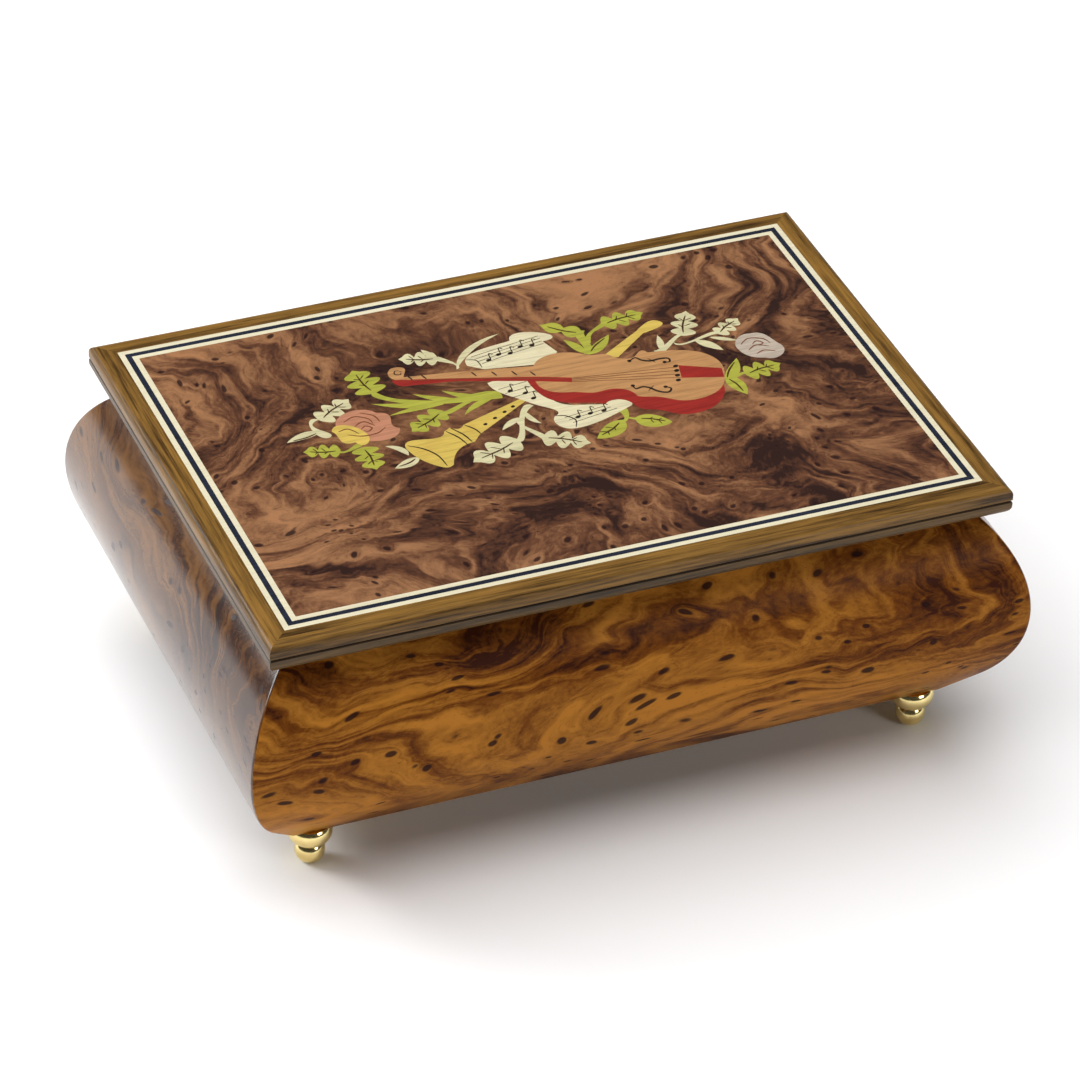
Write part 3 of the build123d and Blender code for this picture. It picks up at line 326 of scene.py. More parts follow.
@dataclass(frozen=True)
class Striped:
    """Satin lacquered straight-grained wood, in stripes along its length; with bands set, painted shade
    darkens the lower bead and a line at the groove.
    """

    name: str
    grain: Grain
    dark: Colour
    light: Colour
    stripes: float = 1.1
    contrast: float = 1.0
    rough: float = 0.34
    coat: float = 0.03
    bands: bool = False

    def material(self) -> bpy.types.Material:
        """Build the material."""
        sh = Shader(self.name, Coat_Weight=self.coat, Coat_Roughness=0.2, IOR=1.46, Specular_IOR_Level=0.25)
        along = 0.035
        scale = (along, 1.0, 1.0) if self.grain is Grain.ALONG_X else (1.0, along, 1.0)
        at = sh.warp(sh.place(scale, (3.1, 7.7, 1.3)), 0.25, 0.9)
        broad = sh.noise(at, 0.34 * self.stripes, 2.0)
        lines = sh.noise(at, 1.25 * self.stripes, 3.0, 0.7)
        hair = sh.noise(at, 5.5, 3.0, 0.7)
        tone = (broad - 0.5) * 1.1 * self.contrast + (lines - 0.5) * 1.3 * self.contrast
        tone = tone + (hair - 0.5) * 0.7 + 0.5
        colour = sh.ramp(tone, [(0.12, self.dark), (0.85, self.light)])
        pores = hair.band(0.60, 0.72)
        colour = sh.mix(pores * 0.35, colour, tuple(part * 0.45 for part in self.dark))
        if self.bands:
            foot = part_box("lid_edging_front")[0].z / MM
            groove = foot + GROOVE_HEIGHT
            height = sh.node("ShaderNodeSeparateXYZ", None, sh.place((1, 1, 1))).out("Z")
            # painted shade: the lower bead of the edging is darkened towards grey-brown, below the groove
            lower_bead_shade = height.band(groove + 0.15, groove - 0.15) * height.band(foot + 0.35, foot + 0.75)
            colour = sh.mix(lower_bead_shade * 0.5, colour, (0.040, 0.030, 0.018))
            # painted shade: a dark line painted along the groove between the upper and lower bands
            groove_shade = height.band(groove - 0.45, groove - 0.25) * height.band(groove + 0.40, groove + 0.2)
            colour = sh.mix(groove_shade * 0.75, colour, (0.018, 0.012, 0.008))
        sh.feed(Base_Color=colour, Roughness=(hair * 0.18) + (self.rough - 0.09))
        sh.bump(hair - pores * 0.6, 0.03, 0.4)
        return sh.material


@dataclass(frozen=True)
class Inlay:
    """Thin inlaid wood with fine fibres, a little sand-shaded in patches."""

    name: str
    base: Colour
    scorch: Colour
    angle: float = 0.0
    figure: float = 1.0

    def material(self) -> bpy.types.Material:
        """Build the material."""
        sh = Shader(self.name, Coat_Weight=0.2, Coat_Roughness=0.2, IOR=1.48)
        coordinates = sh.node("ShaderNodeTexCoord").out("Object")
        at = sh.node("ShaderNodeMapping", None, Vector=coordinates,
                     Rotation=(0, 0, math.radians(self.angle)),
                     Scale=(0.06 / MM, 1.0 / MM, 1.0 / MM))
        at = sh.warp(at, 0.3, 0.5)
        fibre = sh.noise(at, 2.2, 4.0, 0.7)
        bands = sh.noise(at, 0.8, 2.0)
        patch = sh.noise(coordinates, 0.14 / MM, 2.0)
        tone = (fibre - 0.5) * 1.1 + (bands - 0.5) * 0.8 * self.figure + 0.5
        dim = tuple(part * 0.66 for part in self.base)
        pale = tuple(min(1, part * 1.16) for part in self.base)
        colour = sh.ramp(tone, [(0.15, dim), (0.55, self.base), (0.95, pale)])
        colour = sh.mix(patch.band(0.55, 0.75) * 0.35, colour, self.scorch)
        sh.feed(Base_Color=colour, Roughness=fibre * 0.14 + 0.28)
        sh.bump(fibre, 0.02, 0.35)
        return sh.material


@dataclass(frozen=True)
class Metal:
    """Metal with fine marks, a little tarnish and its own grain."""

    name: str
    base: Colour
    tarnish: Colour
    rough: float
    brushed: float = 0.0
    metallic: float = 1.0
    stretch: Triple = (1.0, 1.0, 1.0)

    def material(self) -> bpy.types.Material:
        """Build the material."""
        sh = Shader(self.name, Metallic=self.metallic)
        at = sh.place(self.stretch)
        marks = sh.noise(at, 3.0, 5.0, 0.7)
        cloud = sh.noise(sh.place((1, 1, 1)), 0.22, 3.0)
        colour = sh.mix(cloud.band(0.45, 0.75) * 0.55, self.base, self.tarnish)
        colour = sh.mix(marks.band(0.6, 0.8) * 0.25, colour, self.tarnish)
        rough = cloud * 0.14 + marks * (0.10 + 0.3 * self.brushed) + (self.rough - 0.12)
        sh.feed(Base_Color=colour, Roughness=rough)
        sh.bump(marks, 0.012 + 0.04 * self.brushed, 0.3 + 0.3 * self.brushed)
        return sh.material


@dataclass(frozen=True)
class Velvet:
    """Short pile velvet: dark nap with a soft sheen, brushed in patches."""

    name: str
    deep: Colour
    bright: Colour

    def material(self) -> bpy.types.Material:
        """Build the material."""
        sh = Shader(self.name, Sheen_Weight=0.7, Sheen_Roughness=0.35, Sheen_Tint=(0.95, 0.55, 0.55, 1.0),
                    Specular_IOR_Level=0.15)
        at = sh.place((1, 1, 1))
        nap = sh.noise(at, 4.5, 3.0, 0.7)
        brushed = sh.noise(sh.warp(at, 0.05, 8.0), 0.09, 3.0)
        tone = (nap - 0.5) * 1.1 + (brushed - 0.5) * 0.8 + 0.5
        sh.feed(Base_Color=sh.ramp(tone, [(0.2, self.deep), (0.85, self.bright)]),
                Roughness=nap * 0.2 + 0.75)
        sh.bump(nap, 0.25, 0.8)
        return sh.material


@dataclass(frozen=True)
class Moulded:
    """Moulded or cut plastic, clear when see_through is set."""

    name: str
    base: Colour
    rough: float = 0.3
    see_through: float = 0.0

    def material(self) -> bpy.types.Material:
        """Build the material."""
        sh = Shader(self.name, IOR=1.49, Transmission_Weight=self.see_through)
        at = sh.place((1, 1, 1))
        scuffs = sh.noise(at, 0.35, 5.0, 0.7)
        fine = sh.noise(at, 6.0, 3.0)
        colour = sh.mix(scuffs.band(0.5, 0.8) * 0.3, self.base, tuple(part * 0.85 for part in self.base))
        sh.feed(Base_Color=colour, Roughness=scuffs * 0.12 + fine * 0.06 + (self.rough - 0.08))
        sh.bump(fine, 0.01, 0.3)
        return sh.material


LID_FEATURES = (
    Feature(Mark.KNOT, (-62, -8, 0), (15, 13, FAR)), Feature(Mark.KNOT, (33, -21, 0), (15, 10, FAR)),
    Feature(Mark.KNOT, (66, -30, 0), (17, 14, FAR)), Feature(Mark.KNOT, (76, 34, 0), (13, 12, FAR)),
    Feature(Mark.CLOUD, (-56, -32, 0), (34, 20, FAR)), Feature(Mark.CLOUD, (-44, 34, 0), (26, 15, FAR)),
    Feature(Mark.CLOUD, (4, -42, 0), (22, 12, FAR)), Feature(Mark.CLOUD, (70, 30, 0), (20, 20, FAR)),
    Feature(Mark.EYES, (-14, -41, 0), (15, 9, FAR)), Feature(Mark.EYES, (20, -24, 0), (15, 11, FAR)),
    Feature(Mark.EYES, (37, -18, 0), (12, 9, FAR)), Feature(Mark.EYES, (22, -43, 0), (12, 7, FAR)),
    Feature(Mark.GOLD, (-24, -32, 0), (16, 22, FAR)), Feature(Mark.GOLD, (58, -42, 0), (34, 18, FAR)),
    Feature(Mark.GOLD, (40, 50, 0), (60, 22, FAR)), Feature(Mark.GOLD, (66, -8, 0), (34, 30, FAR)),
    Feature(Mark.GOLD, (-76, 4, 0), (14, 40, FAR)),
)
FRONT_FEATURES = (
    Feature(Mark.KNOT, (-23, 0, 31), (15, FAR, 11)), Feature(Mark.KNOT, (84, 0, 50), (34, FAR, 26)),
    Feature(Mark.CLOUD, (-24, 0, 32), (24, FAR, 16)), Feature(Mark.CLOUD, (-70, 0, 24), (24, FAR, 12)),
    Feature(Mark.CLOUD, (52, 0, 34), (20, FAR, 9)), Feature(Mark.EYES, (-16, 0, 54), (11, FAR, 9)),
    Feature(Mark.EYES, (-26, 0, 32), (18, FAR, 13)), Feature(Mark.EYES, (3, 0, 28), (10, FAR, 8)),
    Feature(Mark.EYES, (50, 0, 35), (18, FAR, 8)), Feature(Mark.EYES, (-68, 0, 24), (16, FAR, 9)),
    Feature(Mark.GOLD, (74, 0, 42), (52, FAR, 34)), Feature(Mark.GOLD, (10, 0, 50), (30, FAR, 16)),
    Feature(Mark.CLOUD, (-78, 0, 44), (26, FAR, 24)),
)
LEFT_FEATURES = (
    Feature(Mark.CLOUD, (0, -36, 34), (FAR, 26, 18)), Feature(Mark.EYES, (0, -30, 42), (FAR, 14, 10)),
    Feature(Mark.EYES, (0, 22, 40), (FAR, 16, 12)), Feature(Mark.GOLD, (0, 44, 34), (FAR, 26, 22)),
)
FINISHES = {
    "lid_field_veneer": Burl("lid_burl", 11.0, (0.028, 0.010, 0.007), (0.165, 0.062, 0.026),
                             (0.41, 0.190, 0.080), 0.75, 56.0, 0.26, 0.6, (0.72, 0.9, 1.0), 0.5, LID_FEATURES),
    "front_panel": Burl("front_burl", 63.0, (0.044, 0.009, 0.002), (0.215, 0.064, 0.005),
                        (0.47, 0.182, 0.022), 0.25, 66.0, 0.30, 0.0, (0.42, 0.6, 1.05), 0.15, FRONT_FEATURES),
    "back_panel": Burl("back_burl", 151.0, (0.040, 0.009, 0.003), (0.235, 0.074, 0.009),
                       (0.46, 0.185, 0.026), 0.3, 62.0, 0.28, 0.1, (0.45, 0.6, 1.05), 0.9),
    "left_panel": Burl("left_burl", 227.0, (0.022, 0.006, 0.002), (0.088, 0.030, 0.007),
                       (0.185, 0.078, 0.018), 0.3, 60.0, 0.19, 0.42, (0.6, 0.45, 1.05), 0.6, LEFT_FEATURES),
    "right_panel": Burl("right_burl", 309.0, (0.036, 0.009, 0.003), (0.205, 0.066, 0.009),
                        (0.40, 0.165, 0.025), 0.35, 60.0, 0.26, 0.18, (0.6, 0.45, 1.05), 0.9),
    "stringing_light": Striped("maple_line", Grain.ALONG_X, (0.52, 0.47, 0.32), (0.68, 0.63, 0.46), 1.0,
                               0.5),
    "stringing_dark": Striped("black_line", Grain.ALONG_X, (0.006, 0.008, 0.014), (0.022, 0.027, 0.045),
                              1.0, 0.7),
    "inlay_spruce": Inlay("spruce", (0.405, 0.207, 0.079), (0.282, 0.123, 0.044), -16.0, 1.3),
    "inlay_padauk": Inlay("padauk", (0.255, 0.016, 0.011), (0.132, 0.009, 0.007), -18.0),
    "inlay_holly": Inlay("holly", (0.598, 0.537, 0.343), (0.484, 0.405, 0.238), 10.0, 0.6),
    "inlay_boxwood": Inlay("boxwood", (0.528, 0.378, 0.075), (0.422, 0.264, 0.044), 35.0),
    "inlay_pink_rose": Inlay("pearwood", (0.414, 0.180, 0.101), (0.317, 0.114, 0.053), 70.0),
    "inlay_white_rose": Inlay("grey_maple", (0.414, 0.343, 0.273), (0.290, 0.229, 0.176), 80.0),
    "inlay_green_leaves": Inlay("dyed_poplar", (0.326, 0.326, 0.040), (0.211, 0.202, 0.022), 55.0),
    "inlay_cream_leaves": Inlay("pale_poplar", (0.528, 0.484, 0.282), (0.378, 0.326, 0.167), 40.0),
    "lid_core": Striped("lid_board", Grain.ALONG_X, (0.13, 0.062, 0.028), (0.24, 0.125, 0.055), 0.6),
    "floor_panel": Striped("plywood", Grain.ALONG_X, (0.42, 0.27, 0.14), (0.60, 0.43, 0.25), 0.4, 0.6,
                           0.5, 0.0),
    "divider": Striped("stained_board", Grain.ALONG_Y, (0.05, 0.022, 0.012), (0.13, 0.06, 0.03), 0.7),
}
EDGING_DARK, EDGING_LIGHT = (0.030, 0.014, 0.004), (0.240, 0.122, 0.024)
EDGING_ALONG_X = Striped("edging_front_and_back", Grain.ALONG_X, EDGING_DARK, EDGING_LIGHT, 1.3, 1.2,
                         bands=True)
EDGING_ALONG_Y = Striped("edging_sides", Grain.ALONG_Y, EDGING_DARK, EDGING_LIGHT, 1.3, 1.2, bands=True)
POLISHED_BRASS = Metal("polished_brass", (0.93, 0.76, 0.34), (0.70, 0.50, 0.17), 0.15)
TURNED_BRASS = Metal("turned_brass", (0.76, 0.55, 0.24), (0.52, 0.34, 0.13), 0.27, 0.4, 1.0,
                     (6.0, 1.0, 1.0))
GROUND_STEEL = Metal("ground_steel", (0.58, 0.58, 0.57), (0.36, 0.35, 0.34), 0.28, 0.6, 1.0,
                     (1.0, 0.1, 1.0))
CAST_ZINC = Metal("cast_zinc", (0.52, 0.50, 0.46), (0.34, 0.33, 0.30), 0.42, 0.5, 0.9)
BRIGHT_SCREW = Metal("bright_screws", (0.70, 0.69, 0.66), (0.45, 0.43, 0.40), 0.22)
RED_VELVET = Velvet("red_velvet", (0.085, 0.004, 0.010), (0.26, 0.014, 0.030))
CLEAR_SHEET = Moulded("clear_sheet", (0.95, 0.97, 0.97), 0.10, 1.0)
WHITE_PLASTIC = Moulded("white_plastic", (0.78, 0.77, 0.73), 0.35)
SHARED = {
    EDGING_ALONG_X: ("lid_edging_front", "lid_edging_back"),
    EDGING_ALONG_Y: ("lid_edging_left", "lid_edging_right"),
    POLISHED_BRASS: ("ball_feet", "hinge_case_leaves", "hinge_lid_leaves", "hinge_case_screws",
                     "hinge_lid_screws", "hinge_pins", "cover_screws"),
    TURNED_BRASS: ("winding_key", "spring_barrel", "barrel_gear", "cylinder", "cylinder_gears",
                   "governor_wheels"),
    GROUND_STEEL: ("comb", "mainspring", "winding_arbor", "ratchet_wheel", "click", "cylinder_arbor",
                   "cylinder_pins", "governor_worm", "stop_rod"),
    CAST_ZINC: ("bedplate", "comb_block", "cylinder_bearings", "barrel_bridge", "governor_frame"),
    BRIGHT_SCREW: ("foot_pins", "bedplate_screws", "movement_screws"),
    RED_VELVET: ("floor_lining", "wall_linings", "short_divider", "lid_lining", "ring_rolls"),
    CLEAR_SHEET: ("movement_cover",),
    WHITE_PLASTIC: ("governor_fan",),
    FINISHES["divider"]: ("cover_ledges",),
}


def dress_nodes() -> None:
    """Give every carried-over CAD node its finish."""
    wanted = dict(FINISHES)
    for finish, names in SHARED.items():
        wanted.update({name: finish for name in names})
    cache: dict[Any, bpy.types.Material] = {}
    for name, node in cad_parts.items():
        finish = wanted[name]
        if finish not in cache:
            cache[finish] = finish.material()
        node.data.materials.clear()
        node.data.materials.append(cache[finish])
    LOG.info("dressed %d nodes with %d materials", len(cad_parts), len(cache))


# ---------------------------------------------------------------- marquetry lines
@dataclass(frozen=True)
class Leaf:
    """Where a leaf's rib runs: its base and tip in millimetres, and whether it has side veins."""

    base: tuple[float, float]
    tip: tuple[float, float]
    veined: bool = False


LEAVES = (
    Leaf((-33.6, 21.4), (-35.2, 32.4), True), Leaf((-20.8, 9.9), (-31.0, 4.2), True),
    Leaf((-43.6, 2.6), (-43.8, -7.2), True), Leaf((-48.6, 2.5), (-57.2, 4.9), True),
    Leaf((21.4, 28.6), (13.0, 35.6)), Leaf((26.6, 30.8), (38.2, 32.4), True),
    Leaf((50.2, 0.1), (60.2, 1.7), True),
    Leaf((45.1, -0.9), (51.3, 7.1)), Leaf((45.9, 0.9), (47.7, -7.6)),
    Leaf((16.6, -7.6), (8.0, -12.6), True),
    Leaf((19.4, -7.8), (26.9, -12.2), True), Leaf((19.0, 20.2), (26.9, 26.4)),
    Leaf((-14.2, 30.2), (-23.4, 33.2), True),
    Leaf((-49.6, 15.4), (-40.0, 21.6), True), Leaf((-8.6, -6.8), (-22.2, -11.9), True),
    Leaf((-4.0, -7.6), (6.0, -13.8), True), Leaf((43.0, 19.6), (48.0, 29.6), True),
    Leaf((51.0, 17.8), (58.4, 22.6), True), Leaf((-33.0, -5.8), (-39.8, -8.2)),
    Leaf((-50.4, 11.2), (-59.4, 9.6)),
)
Points = Sequence[tuple[float, float]]


@dataclass
class LineWork:
    """Scorched and inked lines let into the marquetry, as thin strips in the lid's face."""

    top: float = CAD_BOX[1].z / MM
    proud: float = 0.02
    depth: float = 0.06
    steps: int = 7
    spot_sides: int = 20
    shape: bmesh.types.BMesh = field(default_factory=bmesh.new)

    def course(self, points: Points) -> list[Vector]:
        """Smooth course through the points.

        Args:
            points: where it passes, in millimetres.
        Returns:
            Evenly divided places along it.
        """
        ends = [Vector(point) for point in (points[0], *points, points[-1])]
        course = []
        for before, start, end, after in zip(ends, ends[1:], ends[2:], ends[3:]):
            for step in range(self.steps):
                t = step / self.steps
                bend = 2 * before - 5 * start + 4 * end - after
                twist = 3 * start - before - 3 * end + after
                course.append(0.5 * (2 * start + (end - before) * t + bend * t * t + twist * t ** 3))
        return course + [ends[-1]]

    def strip(self, points: Points, width: float, tapered: bool = True) -> None:
        """Add one line.

        Args:
            points: where it passes.
            width: its width at the middle.
            tapered: whether it narrows to its ends.
        """
        course = self.course(points)
        pairs = []
        for index, place in enumerate(course):
            ahead = course[min(index + 1, len(course) - 1)] - course[max(index - 1, 0)]
            side = Vector((-ahead.y, ahead.x)).normalized()
            share = math.sin(math.pi * (0.06 + 0.88 * index / (len(course) - 1))) ** 0.6 if tapered else 1.0
            half = side * width * share / 2
            pairs.append([self.shape.verts.new((*(place + away) * MM, (self.top + self.proud) * MM))
                          for away in (half, -half)])
        for (one, two), (three, four) in zip(pairs, pairs[1:]):
            self.shape.faces.new((two, four, three, one))

    def dot(self, at: tuple[float, float], radius: float, stretch: float = 1.0, turn: float = 0.0) -> None:
        """Add one filled spot.

        Args:
            at: its centre.
            radius: its short radius.
            stretch: long radius over short.
            turn: the long radius's direction in degrees.
        """
        seat = Matrix.Translation((at[0] * MM, at[1] * MM, (self.top + self.proud) * MM))
        seat = seat @ Matrix.Rotation(math.radians(turn), 4, "Z") @ Matrix.Diagonal((stretch, 1, 1, 1))
        bmesh.ops.create_circle(self.shape, cap_ends=True, segments=self.spot_sides, radius=radius * MM,
                                matrix=seat)

    def close(self, name: str, finish: Inlay) -> None:
        """Give the lines gathered so far their depth and make them one piece.

        Args:
            name: the piece's name.
            finish: its wood.
        """
        walls = bmesh.ops.extrude_face_region(self.shape, geom=self.shape.faces[:])
        moved = [item for item in walls["geom"] if isinstance(item, bmesh.types.BMVert)]
        bmesh.ops.translate(self.shape, verts=moved, vec=(0, 0, -self.depth * MM))
        bmesh.ops.recalc_face_normals(self.shape, faces=self.shape.faces)
        mesh = bpy.data.meshes.new(name)
        self.shape.to_mesh(mesh)
        self.shape.free()
        self.shape = bmesh.new()
        piece = bpy.data.objects.new(name, mesh)
        bpy.context.scene.collection.objects.link(piece)
        mesh.materials.append(finish.material())
        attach(piece, "lid")
        LOG.info("%s: %d faces", name, len(mesh.polygons))

    def leaf_ribs(self) -> None:
        """Open slits down the leaves, with side veins on the lobed ones."""
        for leaf in LEAVES:
            base, tip = Vector(leaf.base), Vector(leaf.tip)
            run = tip - base
            side = Vector((-run.y, run.x)) / run.length
            self.strip([tuple(base + run * share + side * bow) for share, bow in
                        ((0.16, 0.0), (0.45, 0.35), (0.82, 0.0))], 0.46)
            if leaf.veined:
                for share, way in ((0.36, 1), (0.42, -1), (0.60, 1), (0.64, -1)):
                    start = base + run * share
                    end = start + run * 0.10 + side * way * run.length * 0.13
                    self.strip([tuple(start), tuple(end)], 0.28)
        self.close("leaf_ribs", Inlay("scorched_slit", (0.060, 0.026, 0.008), (0.030, 0.012, 0.004)))

    def rose_creases(self) -> None:
        """Petal edges of both roses."""
        for points in (
                ((-44.4, 13.0), (-41.4, 14.4), (-38.6, 12.6), (-38.2, 10.4)),
                ((-42.6, 10.6), (-40.0, 11.8), (-38.0, 9.4)),
                ((-45.2, 8.0), (-42.2, 6.4), (-38.6, 6.4), (-36.0, 8.0)),
                ((-39.6, 15.4), (-37.0, 13.4), (-36.4, 10.6)),
                ((-41.6, 9.0), (-40.2, 10.0), (-39.0, 8.8), (-40.2, 7.8), (-41.2, 8.4)),
                ((-46.8, 9.8), (-44.4, 10.2), (-42.6, 7.6)),
                ((54.6, 12.0), (57.2, 13.8), (60.4, 12.6), (61.4, 10.4)),
                ((55.4, 9.2), (57.8, 10.6), (60.6, 9.2)),
                ((56.6, 7.2), (58.8, 8.0), (61.2, 6.8)),
                ((57.2, 11.2), (58.6, 12.2), (59.8, 11.0), (58.4, 10.2))):
            self.strip(points, 0.38)
        self.close("rose_creases", Inlay("scorched_crease", (0.155, 0.050, 0.020), (0.090, 0.026, 0.010)))

    def violin_strings(self) -> None:
        """Four strings over the belly, and the fine line round its edge."""
        for start, end in zip(((11.4, 10.9), (11.5, 11.4), (11.6, 11.9), (11.7, 12.3)),
                              ((36.0, 4.0), (36.2, 5.4), (36.5, 6.9), (36.8, 8.3))):
            self.strip((start, end), 0.20, False)
        self.strip(((-26.4, 24.6), (-13.0, 20.8), (4.0, 15.0), (11.0, 12.0)), 0.26)
        self.close("violin_strings", Inlay("brown_line", (0.155, 0.056, 0.020), (0.100, 0.034, 0.012)))

    def inked_marks(self) -> None:
        """Sound holes, bridge, pegs, recorder rings, and the sheets' staves and notes."""
        for points in (((27.2, 14.4), (29.0, 15.2), (30.0, 13.8), (31.8, 12.8), (34.4, 12.9),
                        (36.2, 12.4), (36.0, 11.0), (34.8, 11.2)),
                       ((24.0, 4.6), (24.2, 3.2), (26.0, 3.4), (27.4, 2.4), (28.8, 0.4), (30.8, -0.6),
                        (32.0, 0.6), (31.0, 1.6))):
            self.strip(points, 0.62)
            self.dot(points[0], 0.5)
            self.dot(points[-1], 0.5)
        self.strip(((31.6, 14.0), (32.8, 11.8)), 0.24)
        self.strip(((26.6, 1.4), (28.6, 3.0)), 0.24)
        for at in ((34.9, 3.2), (35.5, 5.1), (36.1, 7.0), (36.6, 8.8)):
            self.dot(at, 0.52, 1.3, 20)
        for x, y in ((-23.6, 25.0), (-20.4, 24.2), (-9.0, 21.4), (0.0, 18.6), (-4.5, 20.0), (4.0, 17.0)):
            self.strip(((x - 0.3, y + 1.1), (x + 0.3, y - 0.9)), 0.42)
        self.strip(((-24.4, 28.2), (-25.8, 28.8), (-26.4, 27.6), (-25.2, 27.0), (-24.8, 27.8)), 0.30)
        for one, two in (((-18.7, 2.8), (-16.3, -2.0)), ((-22.1, 2.6), (-19.4, -4.2)),
                         ((-23.6, 1.8), (-20.8, -4.9))):
            self.strip((one, ((one[0] + two[0]) / 2 + 0.5, (one[1] + two[1]) / 2), two), 0.40)
        self.strip(((-33.9, -0.7), (-31.0, -3.0), (-28.8, -6.6), (-28.2, -11.2)), 0.42)
        for at in ((-14.0, 1.4), (-11.0, 3.0), (-8.0, 4.6), (-5.4, 6.0)):
            self.dot(at, 0.42, 1.3, 27)
        for row in range(4):
            self.strip(((-5.6 - 0.5 * row, 24.9 + 1.15 * row), (3.0, 26.7 + 1.15 * row),
                        (11.0, 28.0 + 1.15 * row)), 0.15, False)
        for row in range(3):
            self.strip(((-6.0 + 0.9 * row, 13.6 - 2.1 * row), (1.4 + 0.5 * row, 14.6 - 2.1 * row)), 0.15,
                       False)
            self.strip(((4.2 + 0.5 * row, -2.2 - 1.3 * row), (14.6 + 1.2 * row, -0.9 - 0.9 * row)), 0.15,
                       False)
        for x, y in ((-3.6, 25.8), (-0.6, 27.2), (2.2, 26.8), (5.4, 28.6), (8.2, 28.2), (-3.6, 12.2),
                     (-0.6, 10.2), (0.4, 7.6), (7.2, -3.0), (10.4, -2.6), (13.8, -2.6)):
            self.dot((x, y), 0.48, 1.5, 20)
            self.strip(((x + 0.6, y + 0.2), (x + 0.9, y + 2.5), (x + 1.7, y + 1.9)), 0.26, False)
        self.strip(((2.4, -0.8), (4.6, -1.6), (6.2, -4.0), (5.2, -6.7)), 0.34)
        self.strip(((-8.6, 27.6), (-6.4, 26.6), (-6.2, 23.4)), 0.30)
        self.close("inked_marks", Inlay("inked_line", (0.020, 0.012, 0.009), (0.010, 0.006, 0.005)))

    def build(self) -> None:
        """Make all the lines."""
        self.leaf_ribs()
        self.rose_creases()
        self.violin_strings()
        self.inked_marks()


# ---------------------------------------------------------------- ring rolls
@dataclass
class RingRolls:
    """Four stuffed velvet rolls that grip rings between them."""

    count: int = 4
    wide: float = 8.3
    inset: float = 0.45
    most: float = 0.42
    grain: float = 1.15
    enlarged: float = 20.0
    pressure: float = 26.0
    rounding: float = 3.2
    frames: int = 20

    def outline(self) -> bpy.types.Object:
        """Four slightly slim slabs with rounded backs."""
        low, high = (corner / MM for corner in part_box("ring_rolls"))
        shape = bmesh.new()
        pitch = (high.x - low.x - self.wide) / (self.count - 1)
        size = (self.wide - 2 * self.inset, high.y - low.y - 2 * self.inset,
                high.z - low.z - 2 * self.inset)
        for index in range(self.count):
            middle = (low.x + self.wide / 2 + pitch * index, (low.y + high.y) / 2, (low.z + high.z) / 2)
            seat = Matrix.Translation(Vector(middle) * MM)
            seat = seat @ Matrix.Diagonal((*(part * MM for part in size), 1))
            made = bmesh.ops.create_cube(shape, size=1.0, matrix=seat)
            edges = {edge for vert in made["verts"] for edge in vert.link_edges
                     if all(end.co.z > middle[2] * MM for end in edge.verts)}
            bmesh.ops.bevel(shape, geom=list(edges), offset=self.rounding * MM, affect="EDGES",
                            segments=6, profile=0.5, material=-1)
        mesh = bpy.data.meshes.new("ring_roll_pads")
        shape.to_mesh(mesh)
        shape.free()
        piece = bpy.data.objects.new("ring_roll_pads", mesh)
        bpy.context.scene.collection.objects.link(piece)
        return piece

    def applied(self, piece: bpy.types.Object) -> None:
        """Bake the piece's modifiers into its mesh."""
        made = bpy.data.meshes.new_from_object(piece.evaluated_get(bpy.context.evaluated_depsgraph_get()))
        piece.modifiers.clear()
        piece.data = made

    def stuff(self, piece: bpy.types.Object) -> None:
        """Blow the rolls up as cloth, at an enlarged size, and keep each point near where it was."""
        piece.data.transform(Matrix.Scale(self.enlarged, 4))
        remesh = piece.modifiers.new("even", "REMESH")
        remesh.mode, remesh.voxel_size = "VOXEL", self.grain * MM * self.enlarged
        self.applied(piece)
        rest = [vert.co.copy() for vert in piece.data.vertices]
        cloth = piece.modifiers.new("stuffing", "CLOTH")
        cloth.settings.use_pressure, cloth.settings.uniform_pressure_force = True, self.pressure
        cloth.settings.effector_weights.gravity = 0.0
        for number in range(1, self.frames + 1):
            bpy.context.scene.frame_set(number)
        self.applied(piece)
        bpy.context.scene.frame_set(1)
        cap = self.most * MM * self.enlarged
        for vert, start in zip(piece.data.vertices, rest):
            away = vert.co - start
            vert.co = start + away * min(1.0, cap / max(away.length, 1e-9))
        piece.data.transform(Matrix.Scale(1 / self.enlarged, 4))

    def build(self) -> None:
        """Make the rolls and hide the plain ones."""
        piece = self.outline()
        self.stuff(piece)
        finer = piece.modifiers.new("finer", "SUBSURF")
        finer.levels = finer.render_levels = 1
        self.applied(piece)
        for face in piece.data.polygons:
            face.use_smooth = True
        piece.data.materials.clear()
        piece.data.materials.append(RED_VELVET.material())
        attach(piece, "case")
        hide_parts("ring_rolls")
        LOG.info("ring rolls: %d faces", len(piece.data.polygons))


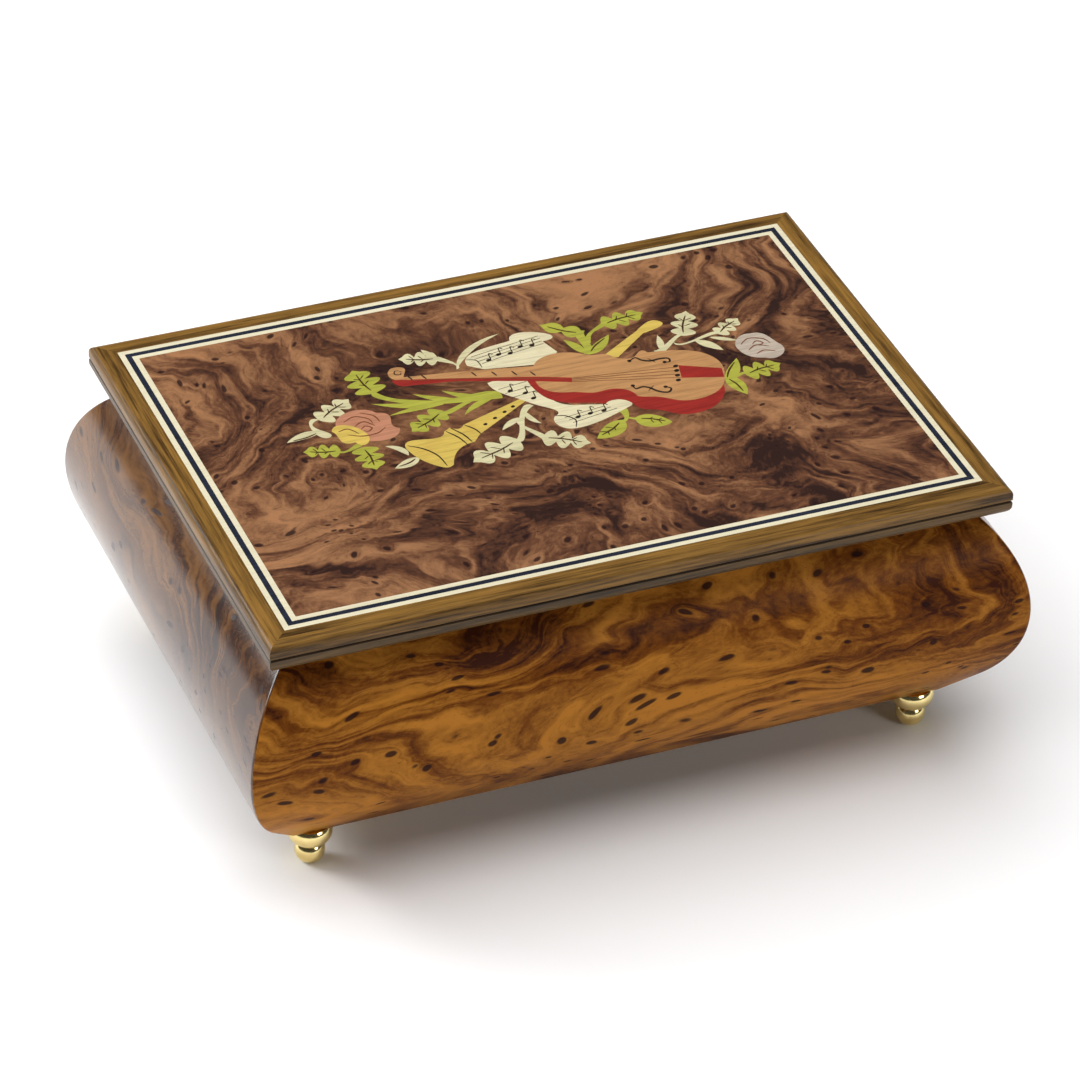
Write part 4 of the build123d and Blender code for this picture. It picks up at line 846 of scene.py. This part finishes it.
# ---------------------------------------------------------------- stage
@dataclass
class Studio:
    """Camera, plain pale floor and soft lights."""

    at: Triple = (-0.4097, -0.9692, 0.7905)
    right: Triple = (0.92782, -0.37217, 0.02569)
    up: Triple = (0.19735, 0.54810, 0.81280)
    back: Triple = (-0.31657, -0.74906, 0.58198)
    lens: float = 184.5
    sensor: float = 36.0
    clip: tuple[float, float] = (0.05, 20.0)
    floor_size: float = 8.0
    front_glow: float = 1.08
    back_glow: float = 1.35
    overhead: float = 3.7
    overhead_spread: float = 85.0
    middle: Triple = (0.0, 0.0, 0.04)

    def camera(self) -> None:
        """Long lens on the front left corner, from a little above."""
        data = bpy.data.cameras.new("camera")
        data.lens, data.sensor_width = self.lens, self.sensor
        data.clip_start, data.clip_end = self.clip
        camera = bpy.data.objects.new("camera", data)
        bpy.context.scene.collection.objects.link(camera)
        turn = Matrix((self.right, self.up, self.back)).transposed().to_4x4()
        camera.matrix_world = Matrix.Translation(self.at) @ turn
        bpy.context.scene.camera = camera

    def floor(self) -> None:
        """Wide pale sheet under the box."""
        mesh = bpy.data.meshes.new("floor")
        shape = bmesh.new()
        bmesh.ops.create_grid(shape, x_segments=2, y_segments=2, size=self.floor_size / 2)
        shape.to_mesh(mesh)
        shape.free()
        floor = bpy.data.objects.new("floor", mesh)
        bpy.context.scene.collection.objects.link(floor)
        sh = Shader("floor_paper", Roughness=0.6, Specular_IOR_Level=0.3)
        tooth = sh.noise(sh.place((1, 1, 1)), 0.4, 3.0)
        sh.feed(Base_Color=sh.mix(tooth * 0.1, (0.93, 0.93, 0.935), (0.90, 0.90, 0.905)))
        mesh.materials.append(sh.material)

    def light(self, name: str, at: Triple, size: Sequence[float], power: float, tint: Colour) -> None:
        """One softbox.

        Args:
            name: the light's name.
            at: where it stands; it looks at the middle of the box.
            size: width and height.
            power: watts.
            tint: its colour.
        """
        data = bpy.data.lights.new(name, "AREA")
        data.shape, data.size, data.size_y = "RECTANGLE", size[0], size[1]
        data.energy, data.color = power, tint
        lamp = bpy.data.objects.new(name, data)
        lamp.location = at
        lamp.rotation_euler = (Vector(self.middle) - Vector(at)).to_track_quat("-Z", "Y").to_euler()
        bpy.context.scene.collection.objects.link(lamp)

    def lights(self) -> None:
        """Pale surroundings, a large softbox at the back left, one above and a weak front fill."""
        bpy.context.scene.view_settings.view_transform = "Standard"
        world = bpy.data.worlds.new("surroundings")
        world.use_nodes = True
        tree = world.node_tree
        sky = tree.nodes["Background"]
        towards = tree.nodes.new("ShaderNodeSeparateXYZ")
        tree.links.new(tree.nodes.new("ShaderNodeTexCoord").outputs["Generated"], towards.inputs[0])
        glow = tree.nodes.new("ShaderNodeMapRange")
        tree.links.new(towards.outputs["Y"], glow.inputs["Value"])
        for socket, value in zip(glow.inputs[1:5], (-0.9, 0.6, self.front_glow, self.back_glow)):
            socket.default_value = value
        tree.links.new(glow.outputs[0], sky.inputs["Strength"])
        bpy.context.scene.world = world
        sun = bpy.data.lights.new("overhead_bank", "SUN")
        sun.energy, sun.angle = self.overhead, math.radians(self.overhead_spread)
        bank = bpy.data.objects.new("overhead_bank", sun)
        bank.rotation_euler = Vector((0.20, -0.22, -1.0)).to_track_quat("-Z", "Y").to_euler()
        bank.visible_glossy = False
        bpy.context.scene.collection.objects.link(bank)
        self.light("softbox_left", (-0.95, 0.75, 0.62), (0.55, 0.35), 9.0, (1.0, 1.0, 1.0))
        self.light("softbox_front", (0.7, -1.2, 0.55), (0.5, 0.35), 4.0, (1.0, 0.98, 0.95))


def main() -> None:
    """Dress the carried-over nodes, add the pieces that finish them, and set the stage."""
    logging.basicConfig(level=logging.INFO)
    studio = Studio()
    studio.camera()
    studio.floor()
    studio.lights()
    dress_nodes()
    LineWork().build()
    RingRolls().build()


if __name__ == "__main__":
    main()
